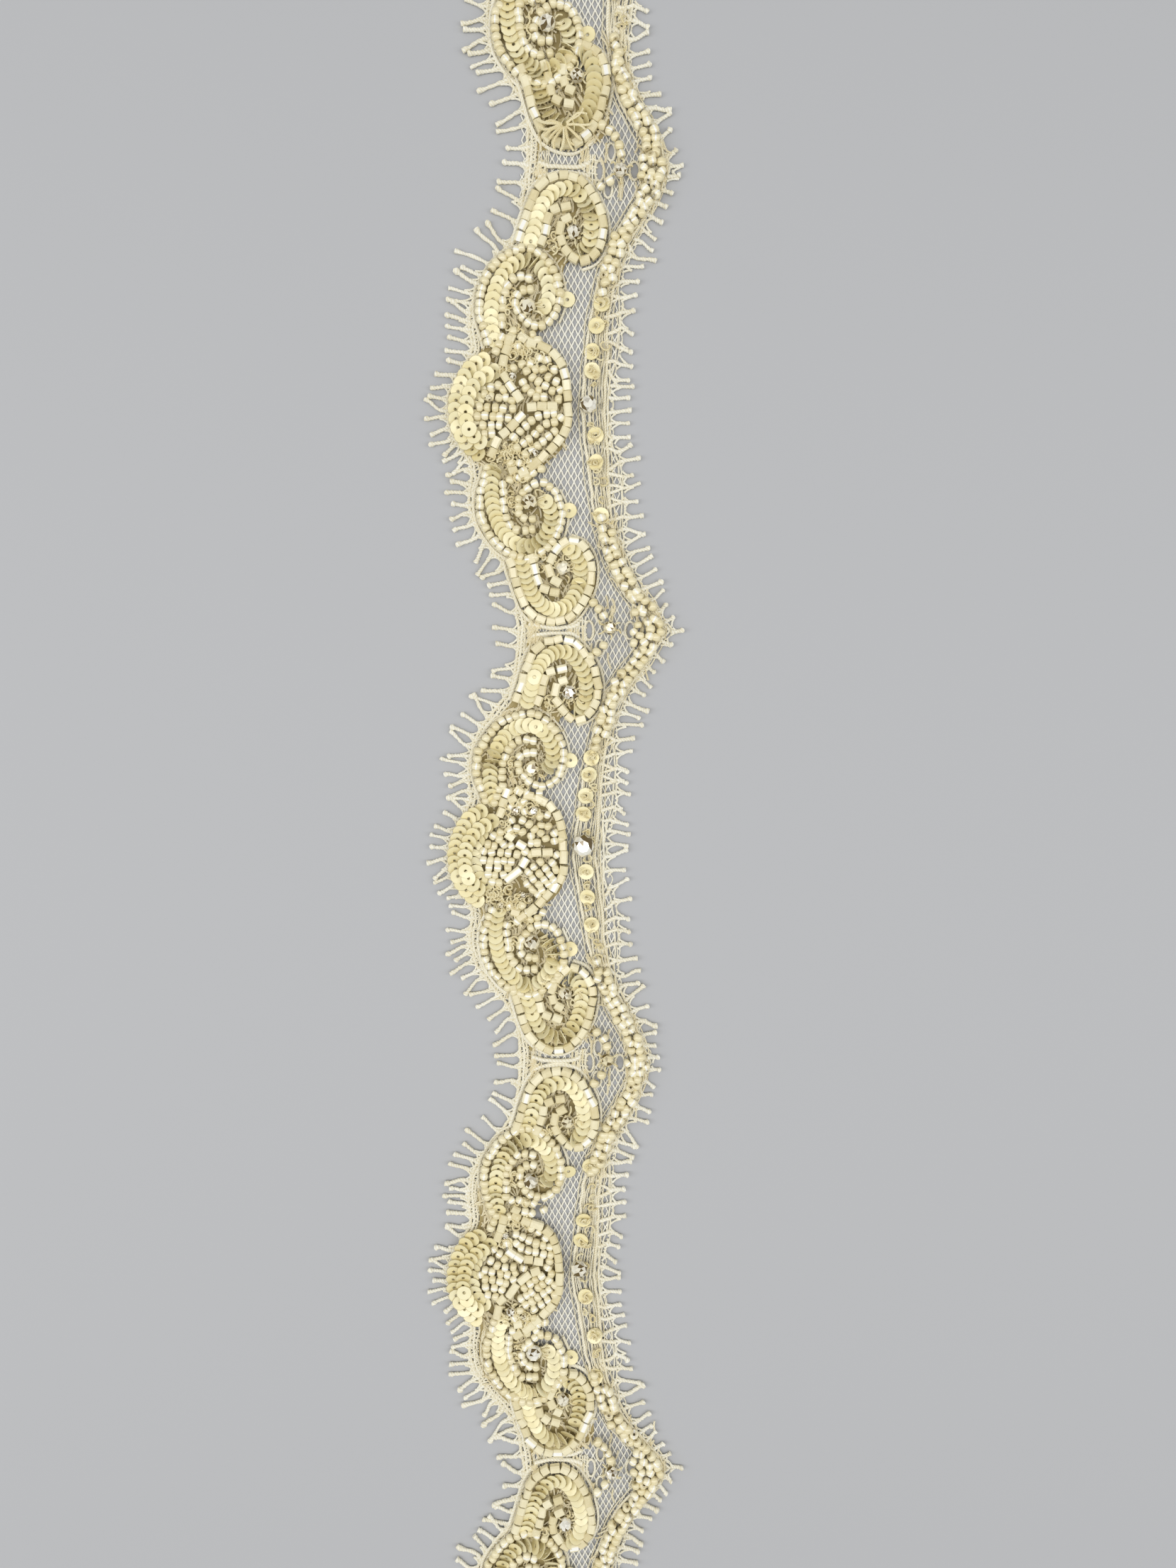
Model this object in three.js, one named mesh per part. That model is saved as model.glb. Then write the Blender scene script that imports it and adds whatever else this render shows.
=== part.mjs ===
// Beaded crystal trim: one cut length of scalloped lace, laid flat, with beaded scrolls, shells and
// crystals sewn on and a picot fringe along both long edges.
//
// The design is a mirrored repeat. Each half repeat runs from a shell to a neck, where the right edge
// stands out as a peak. x is across the trim and y along it; v is the distance from the shell's middle
// towards the neck, before the half repeat is stretched to its own reach.
import * as THREE from 'three';

// ---- driving dimensions, in millimetres
const HALF_REPEAT = 45;      // from the middle of a shell to a neck, as the design is drawn
const CUT_V = 12;            // both ends are cut straight across at this v
const CUT_MARGIN = 1.6;      // no opening comes nearer than this to a cut end
const PEAK_X = 17;           // how far a peak stands out, and the v from which a fold moves it
const PEAK_FROM_V = 33;
const PINCH_FROM_X = -1;
const PINCH_OVER_X = 8;
const GROUND_T = 1.0;        // lace ground, net and backing together
const SEAT_GAP = 0.3;        // between the ground and what is sewn on it
const SEAT_Z = GROUND_T + SEAT_GAP;
const BEADWORK_T = 1.7;      // beads and cup sequins over the ground
const BEVEL = 0.45;          // rounding along the edges of the beadwork
const BAND_T = 0.6;          // couched threads between two gimp cords
const EDGE_STEP = 3.1;       // length of one straight run along the lace edge
const FRINGE_Z = 0.1;
const FRINGE_T = 0.7;        // thickness of a picot
const FRINGE_GAP = 0.4;      // between the lace edge and the fringe's header
const HEADER_W = 0.7;        // width of the header that carries the picots
const PICOT_W = 0.8;
const PICOT_FLARE = 1.25;    // a picot's blunt end, as a share of its width
const LEAN = 0.2;            // how far the picots sway along the edge, in radians, and how fast
const LEAN_STEP = 0.7;
const SWEEP = 4;             // a picot stands square to the edge's run over this far each way
const PICOT_END_CLEAR = 2.2; // from each cut end to the first picot
const SCROLL_RUNS = 10;      // straight runs along a scroll, and along the seed rows of a peak
const PEAK_RUNS = 16;
const BAND_RUNS = 14;

// ---- how the length lies: one row for each half repeat, from the top end down.
// way: +1 runs up the length from its shell, -1 down. atShell and atNeck: sideways shift there.
// peak: how far the right-hand peak is pushed in, where its tip is folded.
// pinch: how far the right side is drawn in half way from the shell to the neck.
const HALVES = [
  { name: 'a_low',  shellY: 149,  way: -1, reach: 47.5, atShell: 5.2,  atNeck: 1.9,  peak: -2.6, pinch: -4.2 },
  { name: 'b_up',   shellY: 55,   way: 1,  reach: 46.5, atShell: 0.6,  atNeck: 1.9,  peak: -2.6, pinch: -2.2 },
  { name: 'b_low',  shellY: 55,   way: -1, reach: 43.5, atShell: 0.6,  atNeck: -0.2, peak: 0.3, pinch: -1.0 },
  { name: 'c_up',   shellY: -35,  way: 1,  reach: 46.5, atShell: -0.1, atNeck: -0.2, peak: 0.3, pinch: -2.0 },
  { name: 'c_low',  shellY: -35,  way: -1, reach: 43.5, atShell: -0.1, atNeck: 0.0,  peak: -3.8, pinch: -1.6 },
  { name: 'd_up',   shellY: -125, way: 1,  reach: 46.5, atShell: -1.0, atNeck: 0.0,  peak: -3.8, pinch: -2.0 },
  { name: 'd_low',  shellY: -125, way: -1, reach: 43.0, atShell: -1.0, atNeck: 0.2,  peak: 0.8, pinch: -0.9 },
  { name: 'e_up',   shellY: -215, way: 1,  reach: 47.0, atShell: -1.2, atNeck: 0.2,  peak: 0.8, pinch: -0.3 },
];

// ---- lace edges, a row for each station of a half repeat.
// left, right: the edges' x. leftPitch, rightPitch: from picot to picot. leftLong, rightLong: their length.
const EDGES = [
  { v: 0,  left: -28.8, right: 4.0,  leftPitch: 2.4, rightPitch: 3.2, leftLong: 3.1, rightLong: 3.0 },
  { v: 3,  left: -28.5, right: 4.0,  leftPitch: 2.5, rightPitch: 3.2, leftLong: 3.1, rightLong: 3.0 },
  { v: 6,  left: -27.0, right: 4.7,  leftPitch: 3.0, rightPitch: 3.2, leftLong: 3.2, rightLong: 2.8 },
  { v: 9,  left: -25.2, right: 5.9,  leftPitch: 3.4, rightPitch: 3.2, leftLong: 3.3, rightLong: 2.3 },
  { v: 12, left: -24.0, right: 6.9,  leftPitch: 3.4, rightPitch: 3.0, leftLong: 3.4, rightLong: 1.9 },
  { v: 16, left: -24.5, right: 7.6,  leftPitch: 2.7, rightPitch: 2.8, leftLong: 3.4, rightLong: 1.8 },
  { v: 20, left: -24.3, right: 7.9,  leftPitch: 2.4, rightPitch: 2.8, leftLong: 3.3, rightLong: 2.1 },
  { v: 24, left: -22.9, right: 7.7,  leftPitch: 2.6, rightPitch: 2.8, leftLong: 3.4, rightLong: 3.3 },
  { v: 28, left: -20.2, right: 8.1,  leftPitch: 3.1, rightPitch: 3.1, leftLong: 3.4, rightLong: 3.5 },
  { v: 32, left: -16.9, right: 9.6,  leftPitch: 3.8, rightPitch: 3.7, leftLong: 3.2, rightLong: 3.2 },
  { v: 36, left: -15.1, right: 11.2, leftPitch: 4.4, rightPitch: 3.8, leftLong: 3.2, rightLong: 3.0 },
  { v: 40, left: -14.5, right: 13.2, leftPitch: 4.8, rightPitch: 3.4, leftLong: 3.2, rightLong: 2.4 },
  { v: 43, left: -14.2, right: 15.6, leftPitch: 5.0, rightPitch: 3.0, leftLong: 3.2, rightLong: 1.6 },
  { v: 45, left: -14.1, right: 17.4, leftPitch: 5.2, rightPitch: 2.8, leftLong: 3.2, rightLong: 1.4 },
];

// ---- openings in the lace
// Diamond windows of the net: a patch is cols by rows of windows around its middle.
const WINDOW_W = 1.7;
const WINDOW_H = 2.7;
const WINDOW_PITCH_X = 2.5;
const WINDOW_PITCH_V = 3.5;
const NET_PATCHES = [
  { x: -2.9, v: 10.4, cols: 1, rows: 1 },
  { x: -4.6, v: 14.2, cols: 3, rows: 1 },
  { x: -2.6, v: 18.0, cols: 2, rows: 1 },
  { x: -2.1, v: 21.6, cols: 2, rows: 1 },
  { x: -1.6, v: 25.2, cols: 2, rows: 1 },
  { x: 3.2,  v: 31.1, cols: 1, rows: 2 },
];
// Round loops of the outer cord, between the band and the right edge.
const LOOP_D = 1.8;
const LOOPS = [
  { x: 5.0, v: 11.6 },
  { x: 5.7, v: 14.9 },
  { x: 6.0, v: 18.4 },
  { x: 6.1, v: 21.9 },
];
// Long eyelets on the neck line, and the two beside it.
const EYELETS = [
  { x: 0.4, v: 45.0, wide: 1.3, tall: 3.0 },
  { x: 8.6, v: 45.0, wide: 1.5, tall: 2.6 },
];
const SIDE_EYELET = { x: 2.6, v: 41.6, wide: 1.2, tall: 2.6 };

// ---- beadwork, a row for each station along the middle of a curled band, with its half width
const SIDE_SCROLL = [
  { x: -19.2, v: 14.2, half: 2.3 },
  { x: -19.5, v: 18.0, half: 2.6 },
  { x: -18.9, v: 21.7, half: 2.6 },
  { x: -17.3, v: 25.0, half: 2.6 },
  { x: -14.6, v: 27.3, half: 2.6 },
  { x: -11.3, v: 27.6, half: 2.4 },
  { x: -8.6,  v: 25.4, half: 2.2 },
  { x: -7.5,  v: 22.2, half: 1.9 },
  { x: -8.0,  v: 19.1, half: 1.6 },
  { x: -9.9,  v: 17.1, half: 1.2 },
];
const NECK_SCROLL = [
  { x: -10.9, v: 32.6, half: 1.8 },
  { x: -11.0, v: 36.0, half: 2.2 },
  { x: -9.8,  v: 39.2, half: 2.2 },
  { x: -7.0,  v: 41.3, half: 2.2 },
  { x: -3.8,  v: 41.2, half: 2.2 },
  { x: -1.1,  v: 38.9, half: 2.2 },
  { x: 0.0,   v: 35.6, half: 2.1 },
  { x: -0.2,  v: 32.2, half: 1.9 },
  { x: -1.6,  v: 29.6, half: 1.6 },
  { x: -4.0,  v: 29.2, half: 1.2 },
];
const SHELL_LOBE = [
  { x: -20.2, v: 8.6,  half: 1.3 },
  { x: -22.4, v: 7.4,  half: 1.9 },
  { x: -24.0, v: 5.2,  half: 2.3 },
  { x: -25.3, v: 2.2,  half: 2.4 },
  { x: -25.9, v: -1.0, half: 2.4 },
  { x: -25.2, v: -4.4, half: 2.3 },
  { x: -23.6, v: -7.2, half: 1.9 },
  { x: -21.2, v: -8.6, half: 1.3 },
];
// The seeded heart of the shell, and its two leaves, as outlines.
const SHELL_HEART = [
  { x: -20.6, v: 5.2 },
  { x: -22.2, v: 2.4 },
  { x: -22.8, v: -1.0 },
  { x: -21.6, v: -4.8 },
  { x: -18.9, v: -6.0 },
  { x: -16.0, v: -3.2 },
  { x: -13.9, v: -0.2 },
  { x: -14.6, v: 2.6 },
  { x: -17.0, v: 5.6 },
];
const UPPER_LEAF = [
  { x: -17.6, v: 8.4 },
  { x: -16.0, v: 6.2 },
  { x: -13.6, v: 3.9 },
  { x: -12.4, v: 1.6 },
  { x: -6.6,  v: 1.5 },
  { x: -3.9,  v: 3.4 },
  { x: -3.7,  v: 7.2 },
  { x: -5.0,  v: 10.0 },
  { x: -8.2,  v: 12.6 },
  { x: -12.0, v: 14.6 },
  { x: -15.2, v: 14.9 },
  { x: -16.0, v: 12.6 },
  { x: -17.3, v: 11.2 },
];
const LOWER_LEAF = [
  { x: -12.3, v: 0.4 },
  { x: -13.0, v: -1.2 },
  { x: -15.4, v: -4.0 },
  { x: -17.8, v: -6.8 },
  { x: -18.8, v: -9.2 },
  { x: -17.6, v: -11.8 },
  { x: -15.2, v: -14.2 },
  { x: -12.2, v: -13.8 },
  { x: -8.8,  v: -11.6 },
  { x: -5.6,  v: -8.6 },
  { x: -4.1,  v: -5.2 },
  { x: -3.8,  v: -1.4 },
  { x: -6.6,  v: 0.3 },
];

// ---- the band of couched threads beside each shell, and the seed rows that run to each peak
const BAND = [
  { x: 2.6, v: -18.5, half: 1.9 },
  { x: 1.8, v: -12.0, half: 2.1 },
  { x: 1.3, v: -5.0,  half: 2.3 },
  { x: 1.3, v: 5.0,   half: 2.3 },
  { x: 1.8, v: 12.0,  half: 2.1 },
  { x: 2.6, v: 18.5,  half: 1.9 },
];
const PEAK_ROWS = [
  { x: 3.2,  v: 20.5, half: 1.4 },
  { x: 4.4,  v: 26.0, half: 1.7 },
  { x: 6.2,  v: 31.5, half: 1.7 },
  { x: 8.6,  v: 36.0, half: 1.7 },
  { x: 11.6, v: 40.2, half: 1.7 },
];
const PEAK_TIP = { x: 13.6, v: 45.0, half: 1.7 };

// ---- crystals: middle, diameter, height and what they stand on
const SCROLL_CRYSTAL = { x: -12.7, v: 19.4, d: 3.6, h: 2.4 };
const NECK_CRYSTAL = { x: 5.0, v: 45.0, d: 2.8, h: 2.0 };
const BAND_CRYSTALS = [
  { shell: 'b', x: -0.6, v: 1.0, d: 3.0, h: 2.0 },
  { shell: 'c', x: -0.9, v: 2.6, d: 4.6, h: 2.6 },
  { shell: 'd', x: -0.9, v: 2.5, d: 3.4, h: 2.2 },
];
const CRYSTAL_SIDES = 8;
const BAND_TOP = SEAT_Z + BAND_T + SEAT_GAP;

// ---- finishes
const COLOURS = {
  lace: { color: 0xe4d9b6, roughness: 0.85, metalness: 0 },
  picot: { color: 0xeae2cc, roughness: 0.7, metalness: 0 },
  beadwork: { color: 0xe9e0ae, roughness: 0.3, metalness: 0 },
  thread: { color: 0xe8dcc0, roughness: 0.75, metalness: 0 },
  crystal: { color: 0xe8e4d0, roughness: 0.05, metalness: 0 },
};

const trim = new THREE.Group();

function addMesh(name, geometry, colours) {
  const mesh = new THREE.Mesh(geometry, new THREE.MeshStandardMaterial(colours));
  mesh.name = name;
  trim.add(mesh);
  return mesh;
}

// Smooth step from 0 to 1 as s goes from 0 to 1.
function ease(s) {
  const t = THREE.MathUtils.clamp(s, 0, 1);
  return t * t * (3 - 2 * t);
}

// A point of the design on its half repeat. A folded peak moves inwards more the further out it stands.
// The pinch grows from nothing at PINCH_FROM_X to all of it PINCH_OVER_X further to the right.
function place(half, x, v) {
  const t = v / HALF_REPEAT;
  const shift = half.atShell + (half.atNeck - half.atShell) * t * t;
  const outward = THREE.MathUtils.clamp(x / PEAK_X, 0, 1);
  const fold = half.peak * outward * ease((v - PEAK_FROM_V) / (HALF_REPEAT - PEAK_FROM_V));
  const rightward = THREE.MathUtils.clamp((x - PINCH_FROM_X) / PINCH_OVER_X, 0, 1);
  const pinch = half.pinch * rightward * Math.sin(Math.PI * t) ** 2;
  return new THREE.Vector2(x + shift + fold + pinch, half.shellY + half.way * t * half.reach);
}

// The two halves that share a shell, as one frame whose v runs down as well as up.
function placeOnShell(up, low, x, v) {
  return v >= 0 ? place(up, x, v) : place(low, x, -v);
}

// True for the first and last half repeats, which the cut ends shorten.
function isEnd(i) {
  return i === 0 || i === HALVES.length - 1;
}

// ---- lace edges
// All stations of one side from the top end down, each with its picots' pitch and length.
function edgeStations(side) {
  const stations = [];
  HALVES.forEach((half, i) => {
    const rows = EDGES.filter((row) => !isEnd(i) || row.v >= CUT_V);
    const ordered = half.way > 0 ? [...rows].reverse() : rows;
    const joint = i > 0 ? 1 : 0;
    ordered.slice(joint).forEach((row) => {
      stations.push({
        at: place(half, row[side], row.v),
        pitch: row[`${side}Pitch`],
        long: row[`${side}Long`],
      });
    });
  });
  return stations;
}

// One edge as a spline curve that runs down the length.
function edgeCurve(stations) {
  return new THREE.SplineCurve(stations.map((station) => station.at));
}

// A regular outline of a hole: diamond for 4 corners, round for more.
function holeAt(centre, wide, tall, corners) {
  const points = [];
  for (let i = 0; i < corners; i++) {
    const turn = (2 * Math.PI * i) / corners;
    const corner = new THREE.Vector2(wide / 2 * Math.cos(turn), tall / 2 * Math.sin(turn));
    points.push(corner.add(centre));
  }
  return new THREE.Path(points.reverse());
}

function netHoles(half) {
  const holes = [];
  NET_PATCHES.forEach((patch) => {
    for (let c = 0; c < patch.cols; c++) {
      for (let r = 0; r < patch.rows; r++) {
        const x = patch.x + (c - (patch.cols - 1) / 2) * WINDOW_PITCH_X;
        const v = patch.v + (r - (patch.rows - 1) / 2) * WINDOW_PITCH_V;
        holes.push(holeAt(place(half, x, v), WINDOW_W, WINDOW_H, 4));
      }
    }
  });
  LOOPS.forEach((loop) => holes.push(holeAt(place(half, loop.x, loop.v), LOOP_D, LOOP_D, 6)));
  const side = SIDE_EYELET;
  holes.push(holeAt(place(half, side.x, side.v), side.wide, side.tall, 6));
  return holes;
}

function laceGround() {
  const left = edgeCurve(edgeStations('left'));
  const right = edgeCurve(edgeStations('right'));
  const down = right.getSpacedPoints(Math.round(right.getLength() / EDGE_STEP));
  const up = left.getSpacedPoints(Math.round(left.getLength() / EDGE_STEP)).reverse();
  const shape = new THREE.Shape([...up, ...down].reverse());
  HALVES.forEach((half, i) => {
    const holes = netHoles(half);
    const endY = half.shellY + half.way * (CUT_V + CUT_MARGIN) / HALF_REPEAT * half.reach;
    shape.holes.push(...holes.filter((hole) => !isEnd(i) || clearOfCut(hole, half, endY)));
    if (half.way < 0) {
      EYELETS.forEach((row) => shape.holes.push(holeAt(place(half, row.x, row.v), row.wide, row.tall, 6)));
    }
  });
  return new THREE.ExtrudeGeometry(shape, { depth: GROUND_T, bevelEnabled: false });
}

// True where a hole lies wholly on the kept side of a cut end.
function clearOfCut(hole, half, endY) {
  return hole.getPoints().every((p) => (p.y - endY) * half.way > 0);
}

// ---- fringe: one comb along an edge, a header with blunt picots
// A fixed wobble for the n-th picot, from -1 to 1, that never repeats evenly.
function wobble(n, kind) {
  return Math.sin(n * 12.9898 + kind * 78.233) * Math.cos(n * 4.137 + kind * 9.71);
}

// Pitch and length at a share u of the way down the edge, read between its stations.
function stationAt(stations, u) {
  const s = u * (stations.length - 1);
  const i = Math.min(Math.floor(s), stations.length - 2);
  const f = s - i;
  const mix = (key) => stations[i][key] * (1 - f) + stations[i + 1][key] * f;
  return { pitch: mix('pitch'), long: mix('long') };
}

function fringeComb(side) {
  const stations = edgeStations(side);
  const curve = edgeCurve(stations);
  const outward = side === 'left' ? -1 : 1;
  const total = curve.getLength();
  const steps = Math.round(total / EDGE_STEP);
  const offset = (u, distance) => {
    const p = curve.getPointAt(u);
    const t = curve.getTangentAt(u);
    return new THREE.Vector2(p.x - t.y * outward * distance, p.y + t.x * outward * distance);
  };
  const inner = [];
  for (let i = 0; i <= steps; i++) inner.push(offset(i / steps, FRINGE_GAP));
  const outer = [offset(0, FRINGE_GAP + HEADER_W)];
  let s = PICOT_END_CLEAR;
  for (let n = 0; s < total - PICOT_END_CLEAR; n++) {
    const u = s / total;
    const { pitch, long } = stationAt(stations, curve.getUtoTmapping(u));
    const reach = long * (1 + 0.16 * wobble(n, 1));
    const lean = LEAN * Math.sin(LEAN_STEP * n) + 0.04 * wobble(n, 2);
    const root = offset(u, FRINGE_GAP + HEADER_W);
    const before = curve.getPointAt(Math.max(u - SWEEP / total, 0));
    const after = curve.getPointAt(Math.min(u + SWEEP / total, 1));
    const across = after.sub(before).normalize().rotateAround(new THREE.Vector2(), lean);
    const out = new THREE.Vector2(-across.y * outward, across.x * outward);
    const tip = root.clone().addScaledVector(out, reach);
    outer.push(offset((s - PICOT_W / 2) / total, FRINGE_GAP + HEADER_W));
    outer.push(tip.clone().addScaledVector(across, -PICOT_W * PICOT_FLARE / 2));
    outer.push(tip.clone().addScaledVector(across, PICOT_W * PICOT_FLARE / 2));
    outer.push(offset((s + PICOT_W / 2) / total, FRINGE_GAP + HEADER_W));
    s += pitch * (1 + 0.15 * wobble(n, 3));
  }
  outer.push(offset(1, FRINGE_GAP + HEADER_W));
  const ring = [...outer, ...inner.reverse()];
  const shape = new THREE.Shape(side === 'left' ? ring : ring.reverse());
  const geometry = new THREE.ExtrudeGeometry(shape, { depth: FRINGE_T, bevelEnabled: false });
  return geometry.translate(0, 0, FRINGE_Z);
}

// ---- beadwork
// An outline around a curled band: the spline through its stations, offset to each side by its half width.
function ribbonShape(stations, runs) {
  const spine = new THREE.SplineCurve(stations.map((station) => station.at));
  const widths = new THREE.SplineCurve(stations.map((station, i) => new THREE.Vector2(i, station.half)));
  const one = [];
  const other = [];
  for (let i = 0; i <= runs; i++) {
    const t = i / runs;
    const p = spine.getPoint(t);
    const along = spine.getTangent(t);
    const half = widths.getPoint(t).y;
    one.push(new THREE.Vector2(p.x - along.y * half, p.y + along.x * half));
    other.push(new THREE.Vector2(p.x + along.y * half, p.y - along.x * half));
  }
  return new THREE.Shape([...one, ...other.reverse()]);
}

function raised(shape, thickness, bevel, z) {
  if (THREE.ShapeUtils.isClockWise(shape.getPoints())) {
    shape = new THREE.Shape(shape.getPoints().reverse());
  }
  const geometry = new THREE.ExtrudeGeometry(shape, {
    depth: thickness - 2 * bevel,
    bevelEnabled: bevel > 0,
    bevelThickness: bevel,
    bevelSize: bevel,
    bevelOffset: -bevel,
    bevelSegments: 1,
  });
  return geometry.translate(0, 0, z + bevel);
}

function addBeadwork(name, shape) {
  addMesh(name, raised(shape, BEADWORK_T, BEVEL, SEAT_Z), COLOURS.beadwork);
}

function scrollShape(half, rows) {
  return ribbonShape(rows.map((row) => ({ at: place(half, row.x, row.v), half: row.half })), SCROLL_RUNS);
}

function shellShape(up, low, rows, runs) {
  const at = (row) => placeOnShell(up, low, row.x, row.v);
  if (rows[0].half) return ribbonShape(rows.map((row) => ({ at: at(row), half: row.half })), runs);
  return new THREE.Shape(rows.map(at));
}

function peakRowsShape(above, below) {
  const arm = (half) => PEAK_ROWS.map((row) => ({ at: place(half, row.x, row.v), half: row.half }));
  const tip = { at: place(above, PEAK_TIP.x, PEAK_TIP.v), half: PEAK_TIP.half };
  return ribbonShape([...arm(above), tip, ...arm(below).reverse()], PEAK_RUNS);
}

// ---- crystals: a faceted cup under a flat table, closed on its own axis
function crystal(diameter, height) {
  const r = diameter / 2;
  const profile = [[0, 0], [0.55 * r, 0], [r, 0.42 * height], [0.62 * r, height], [0, height]];
  const points = profile.map(([x, y]) => new THREE.Vector2(x, y));
  return new THREE.LatheGeometry(points, CRYSTAL_SIDES).rotateX(Math.PI / 2);
}

function addCrystal(name, at, row, z) {
  const mesh = addMesh(name, crystal(row.d, row.h), COLOURS.crystal);
  mesh.position.set(at.x, at.y, z);
}

// ---- the whole length
addMesh('lace_ground', laceGround(), COLOURS.lace);
addMesh('fringe_left', fringeComb('left'), COLOURS.picot);
addMesh('fringe_right', fringeComb('right'), COLOURS.picot);

HALVES.forEach((half) => {
  addBeadwork(`side_scroll_${half.name}`, scrollShape(half, SIDE_SCROLL));
  addBeadwork(`neck_scroll_${half.name}`, scrollShape(half, NECK_SCROLL));
  const row = SCROLL_CRYSTAL;
  addCrystal(`scroll_crystal_${half.name}`, place(half, row.x, row.v), row, SEAT_Z);
});

const SHELLS = [
  { name: 'b', up: HALVES[1], low: HALVES[2] },
  { name: 'c', up: HALVES[3], low: HALVES[4] },
  { name: 'd', up: HALVES[5], low: HALVES[6] },
];
SHELLS.forEach(({ name, up, low }) => {
  const part = (rows, runs) => shellShape(up, low, rows, runs);
  addBeadwork(`shell_lobe_${name}`, part(SHELL_LOBE, SCROLL_RUNS));
  addBeadwork(`shell_heart_${name}`, part(SHELL_HEART));
  addBeadwork(`upper_leaf_${name}`, part(UPPER_LEAF));
  addBeadwork(`lower_leaf_${name}`, part(LOWER_LEAF));
  addMesh(`thread_band_${name}`, raised(part(BAND, BAND_RUNS), BAND_T, 0, SEAT_Z), COLOURS.thread);
  const row = BAND_CRYSTALS.find((entry) => entry.shell === name);
  addCrystal(`band_crystal_${name}`, placeOnShell(up, low, row.x, row.v), row, BAND_TOP);
});

const NECKS = [
  { name: 'ab', above: HALVES[0], below: HALVES[1] },
  { name: 'bc', above: HALVES[2], below: HALVES[3] },
  { name: 'cd', above: HALVES[4], below: HALVES[5] },
  { name: 'de', above: HALVES[6], below: HALVES[7] },
];
NECKS.forEach(({ name, above, below }) => {
  addBeadwork(`peak_rows_${name}`, peakRowsShape(above, below));
  addCrystal(`neck_crystal_${name}`, place(above, NECK_CRYSTAL.x, NECK_CRYSTAL.v), NECK_CRYSTAL, SEAT_Z);
});

// The origin is under the middle of the whole piece, on the surface it lies on.
const box = new THREE.Box3().setFromObject(trim);
const middle = box.getCenter(new THREE.Vector3());
trim.position.set(-middle.x, -middle.y, -box.min.z);

export default trim;
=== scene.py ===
"""Beaded crystal lace trim, laid flat: net, cords, picots, beads, cup sequins and crystals."""
import math

import bpy
import numpy as np
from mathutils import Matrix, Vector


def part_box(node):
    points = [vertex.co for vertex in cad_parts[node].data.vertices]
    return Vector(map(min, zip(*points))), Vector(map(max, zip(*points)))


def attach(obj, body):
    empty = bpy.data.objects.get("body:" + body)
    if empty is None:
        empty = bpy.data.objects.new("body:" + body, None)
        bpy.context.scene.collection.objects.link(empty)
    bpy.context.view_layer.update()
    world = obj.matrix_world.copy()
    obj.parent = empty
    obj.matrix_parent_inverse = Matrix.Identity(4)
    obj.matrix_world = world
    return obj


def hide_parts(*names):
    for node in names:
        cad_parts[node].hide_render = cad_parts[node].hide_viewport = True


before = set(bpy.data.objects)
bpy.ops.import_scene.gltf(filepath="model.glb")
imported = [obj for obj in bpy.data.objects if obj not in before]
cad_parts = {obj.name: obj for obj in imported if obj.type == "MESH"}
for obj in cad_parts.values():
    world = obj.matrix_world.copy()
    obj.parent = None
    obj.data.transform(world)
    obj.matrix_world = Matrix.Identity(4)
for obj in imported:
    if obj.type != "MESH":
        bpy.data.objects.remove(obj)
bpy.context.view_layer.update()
rng = np.random.default_rng(722)
MM = 0.001


def stray(by, size):
    """Random numbers about nothing, with a standard deviation of by."""
    return rng.normal(0, by, size)


# ---- how the length lies, in millimetres. shell_y, way, reach, at_shell, at_neck, peak, pinch:
# the same half repeats as the solids, each running from a shell's middle to a neck.
HALVES = {
    "a_low": (149, -1, 47.5, 5.2, 1.9, -2.6, -4.2),
    "b_up": (55, 1, 46.5, 0.6, 1.9, -2.6, -2.2),
    "b_low": (55, -1, 43.5, 0.6, -0.2, 0.3, -1.0),
    "c_up": (-35, 1, 46.5, -0.1, -0.2, 0.3, -2.0),
    "c_low": (-35, -1, 43.5, -0.1, 0.0, -3.8, -1.6),
    "d_up": (-125, 1, 46.5, -1.0, 0.0, -3.8, -2.0),
    "d_low": (-125, -1, 43.0, -1.0, 0.2, 0.8, -0.9),
    "e_up": (-215, 1, 47.0, -1.2, 0.2, 0.8, -0.3),
}
ENDS = ("a_low", "e_up")
# design lengths: a whole half repeat, and where the two end ones are cut
HALF_V, CUT_V = 45, 12
# the fold of a peak grows over these lengths, and the pinch over the next
PEAK_OVER_X, PEAK_FROM_V, PEAK_OVER_V = 17, 33, 12
PINCH_FROM_X, PINCH_OVER_X = -1, 8
SHELLS = {"b": ("b_up", "b_low"), "c": ("c_up", "c_low"), "d": ("d_up", "d_low")}
NECKS = {"ab": ("a_low", "b_up"), "bc": ("b_low", "c_up"), "cd": ("c_low", "d_up"), "de": ("d_low", "e_up")}


def place(half, x, v):
    """A point of the design on its half repeat: sideways shift grows with v squared, and the fold at a
    peak is peak * clamp(x / 17) * smoothstep((v - 33) / 12). The right side is drawn in by
    pinch * clamp((x + 1) / 8) * sin(pi * v / 45) squared."""
    shell_y, way, reach, at_shell, at_neck, peak, pinch = HALVES[half]
    x, v = np.asarray(x, float), np.asarray(v, float)
    t = v / HALF_V
    s = np.clip((v - PEAK_FROM_V) / PEAK_OVER_V, 0, 1)
    fold = peak * np.clip(x / PEAK_OVER_X, 0, 1) * s * s * (3 - 2 * s)
    drawn_in = pinch * np.clip((x - PINCH_FROM_X) / PINCH_OVER_X, 0, 1) * np.sin(np.pi * t) ** 2
    across = x + at_shell + (at_neck - at_shell) * t * t + fold + drawn_in
    return np.stack([across, shell_y + way * t * reach], -1)


def on_shell(shell, points):
    """Points (x, v) of a shell, v above its middle on the upper half repeat and below it on the lower."""
    up, low = SHELLS[shell]
    p = np.asarray(points, float)
    return np.where(p[:, 1:] >= 0, place(up, p[:, 0], p[:, 1]), place(low, p[:, 0], -p[:, 1]))


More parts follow.
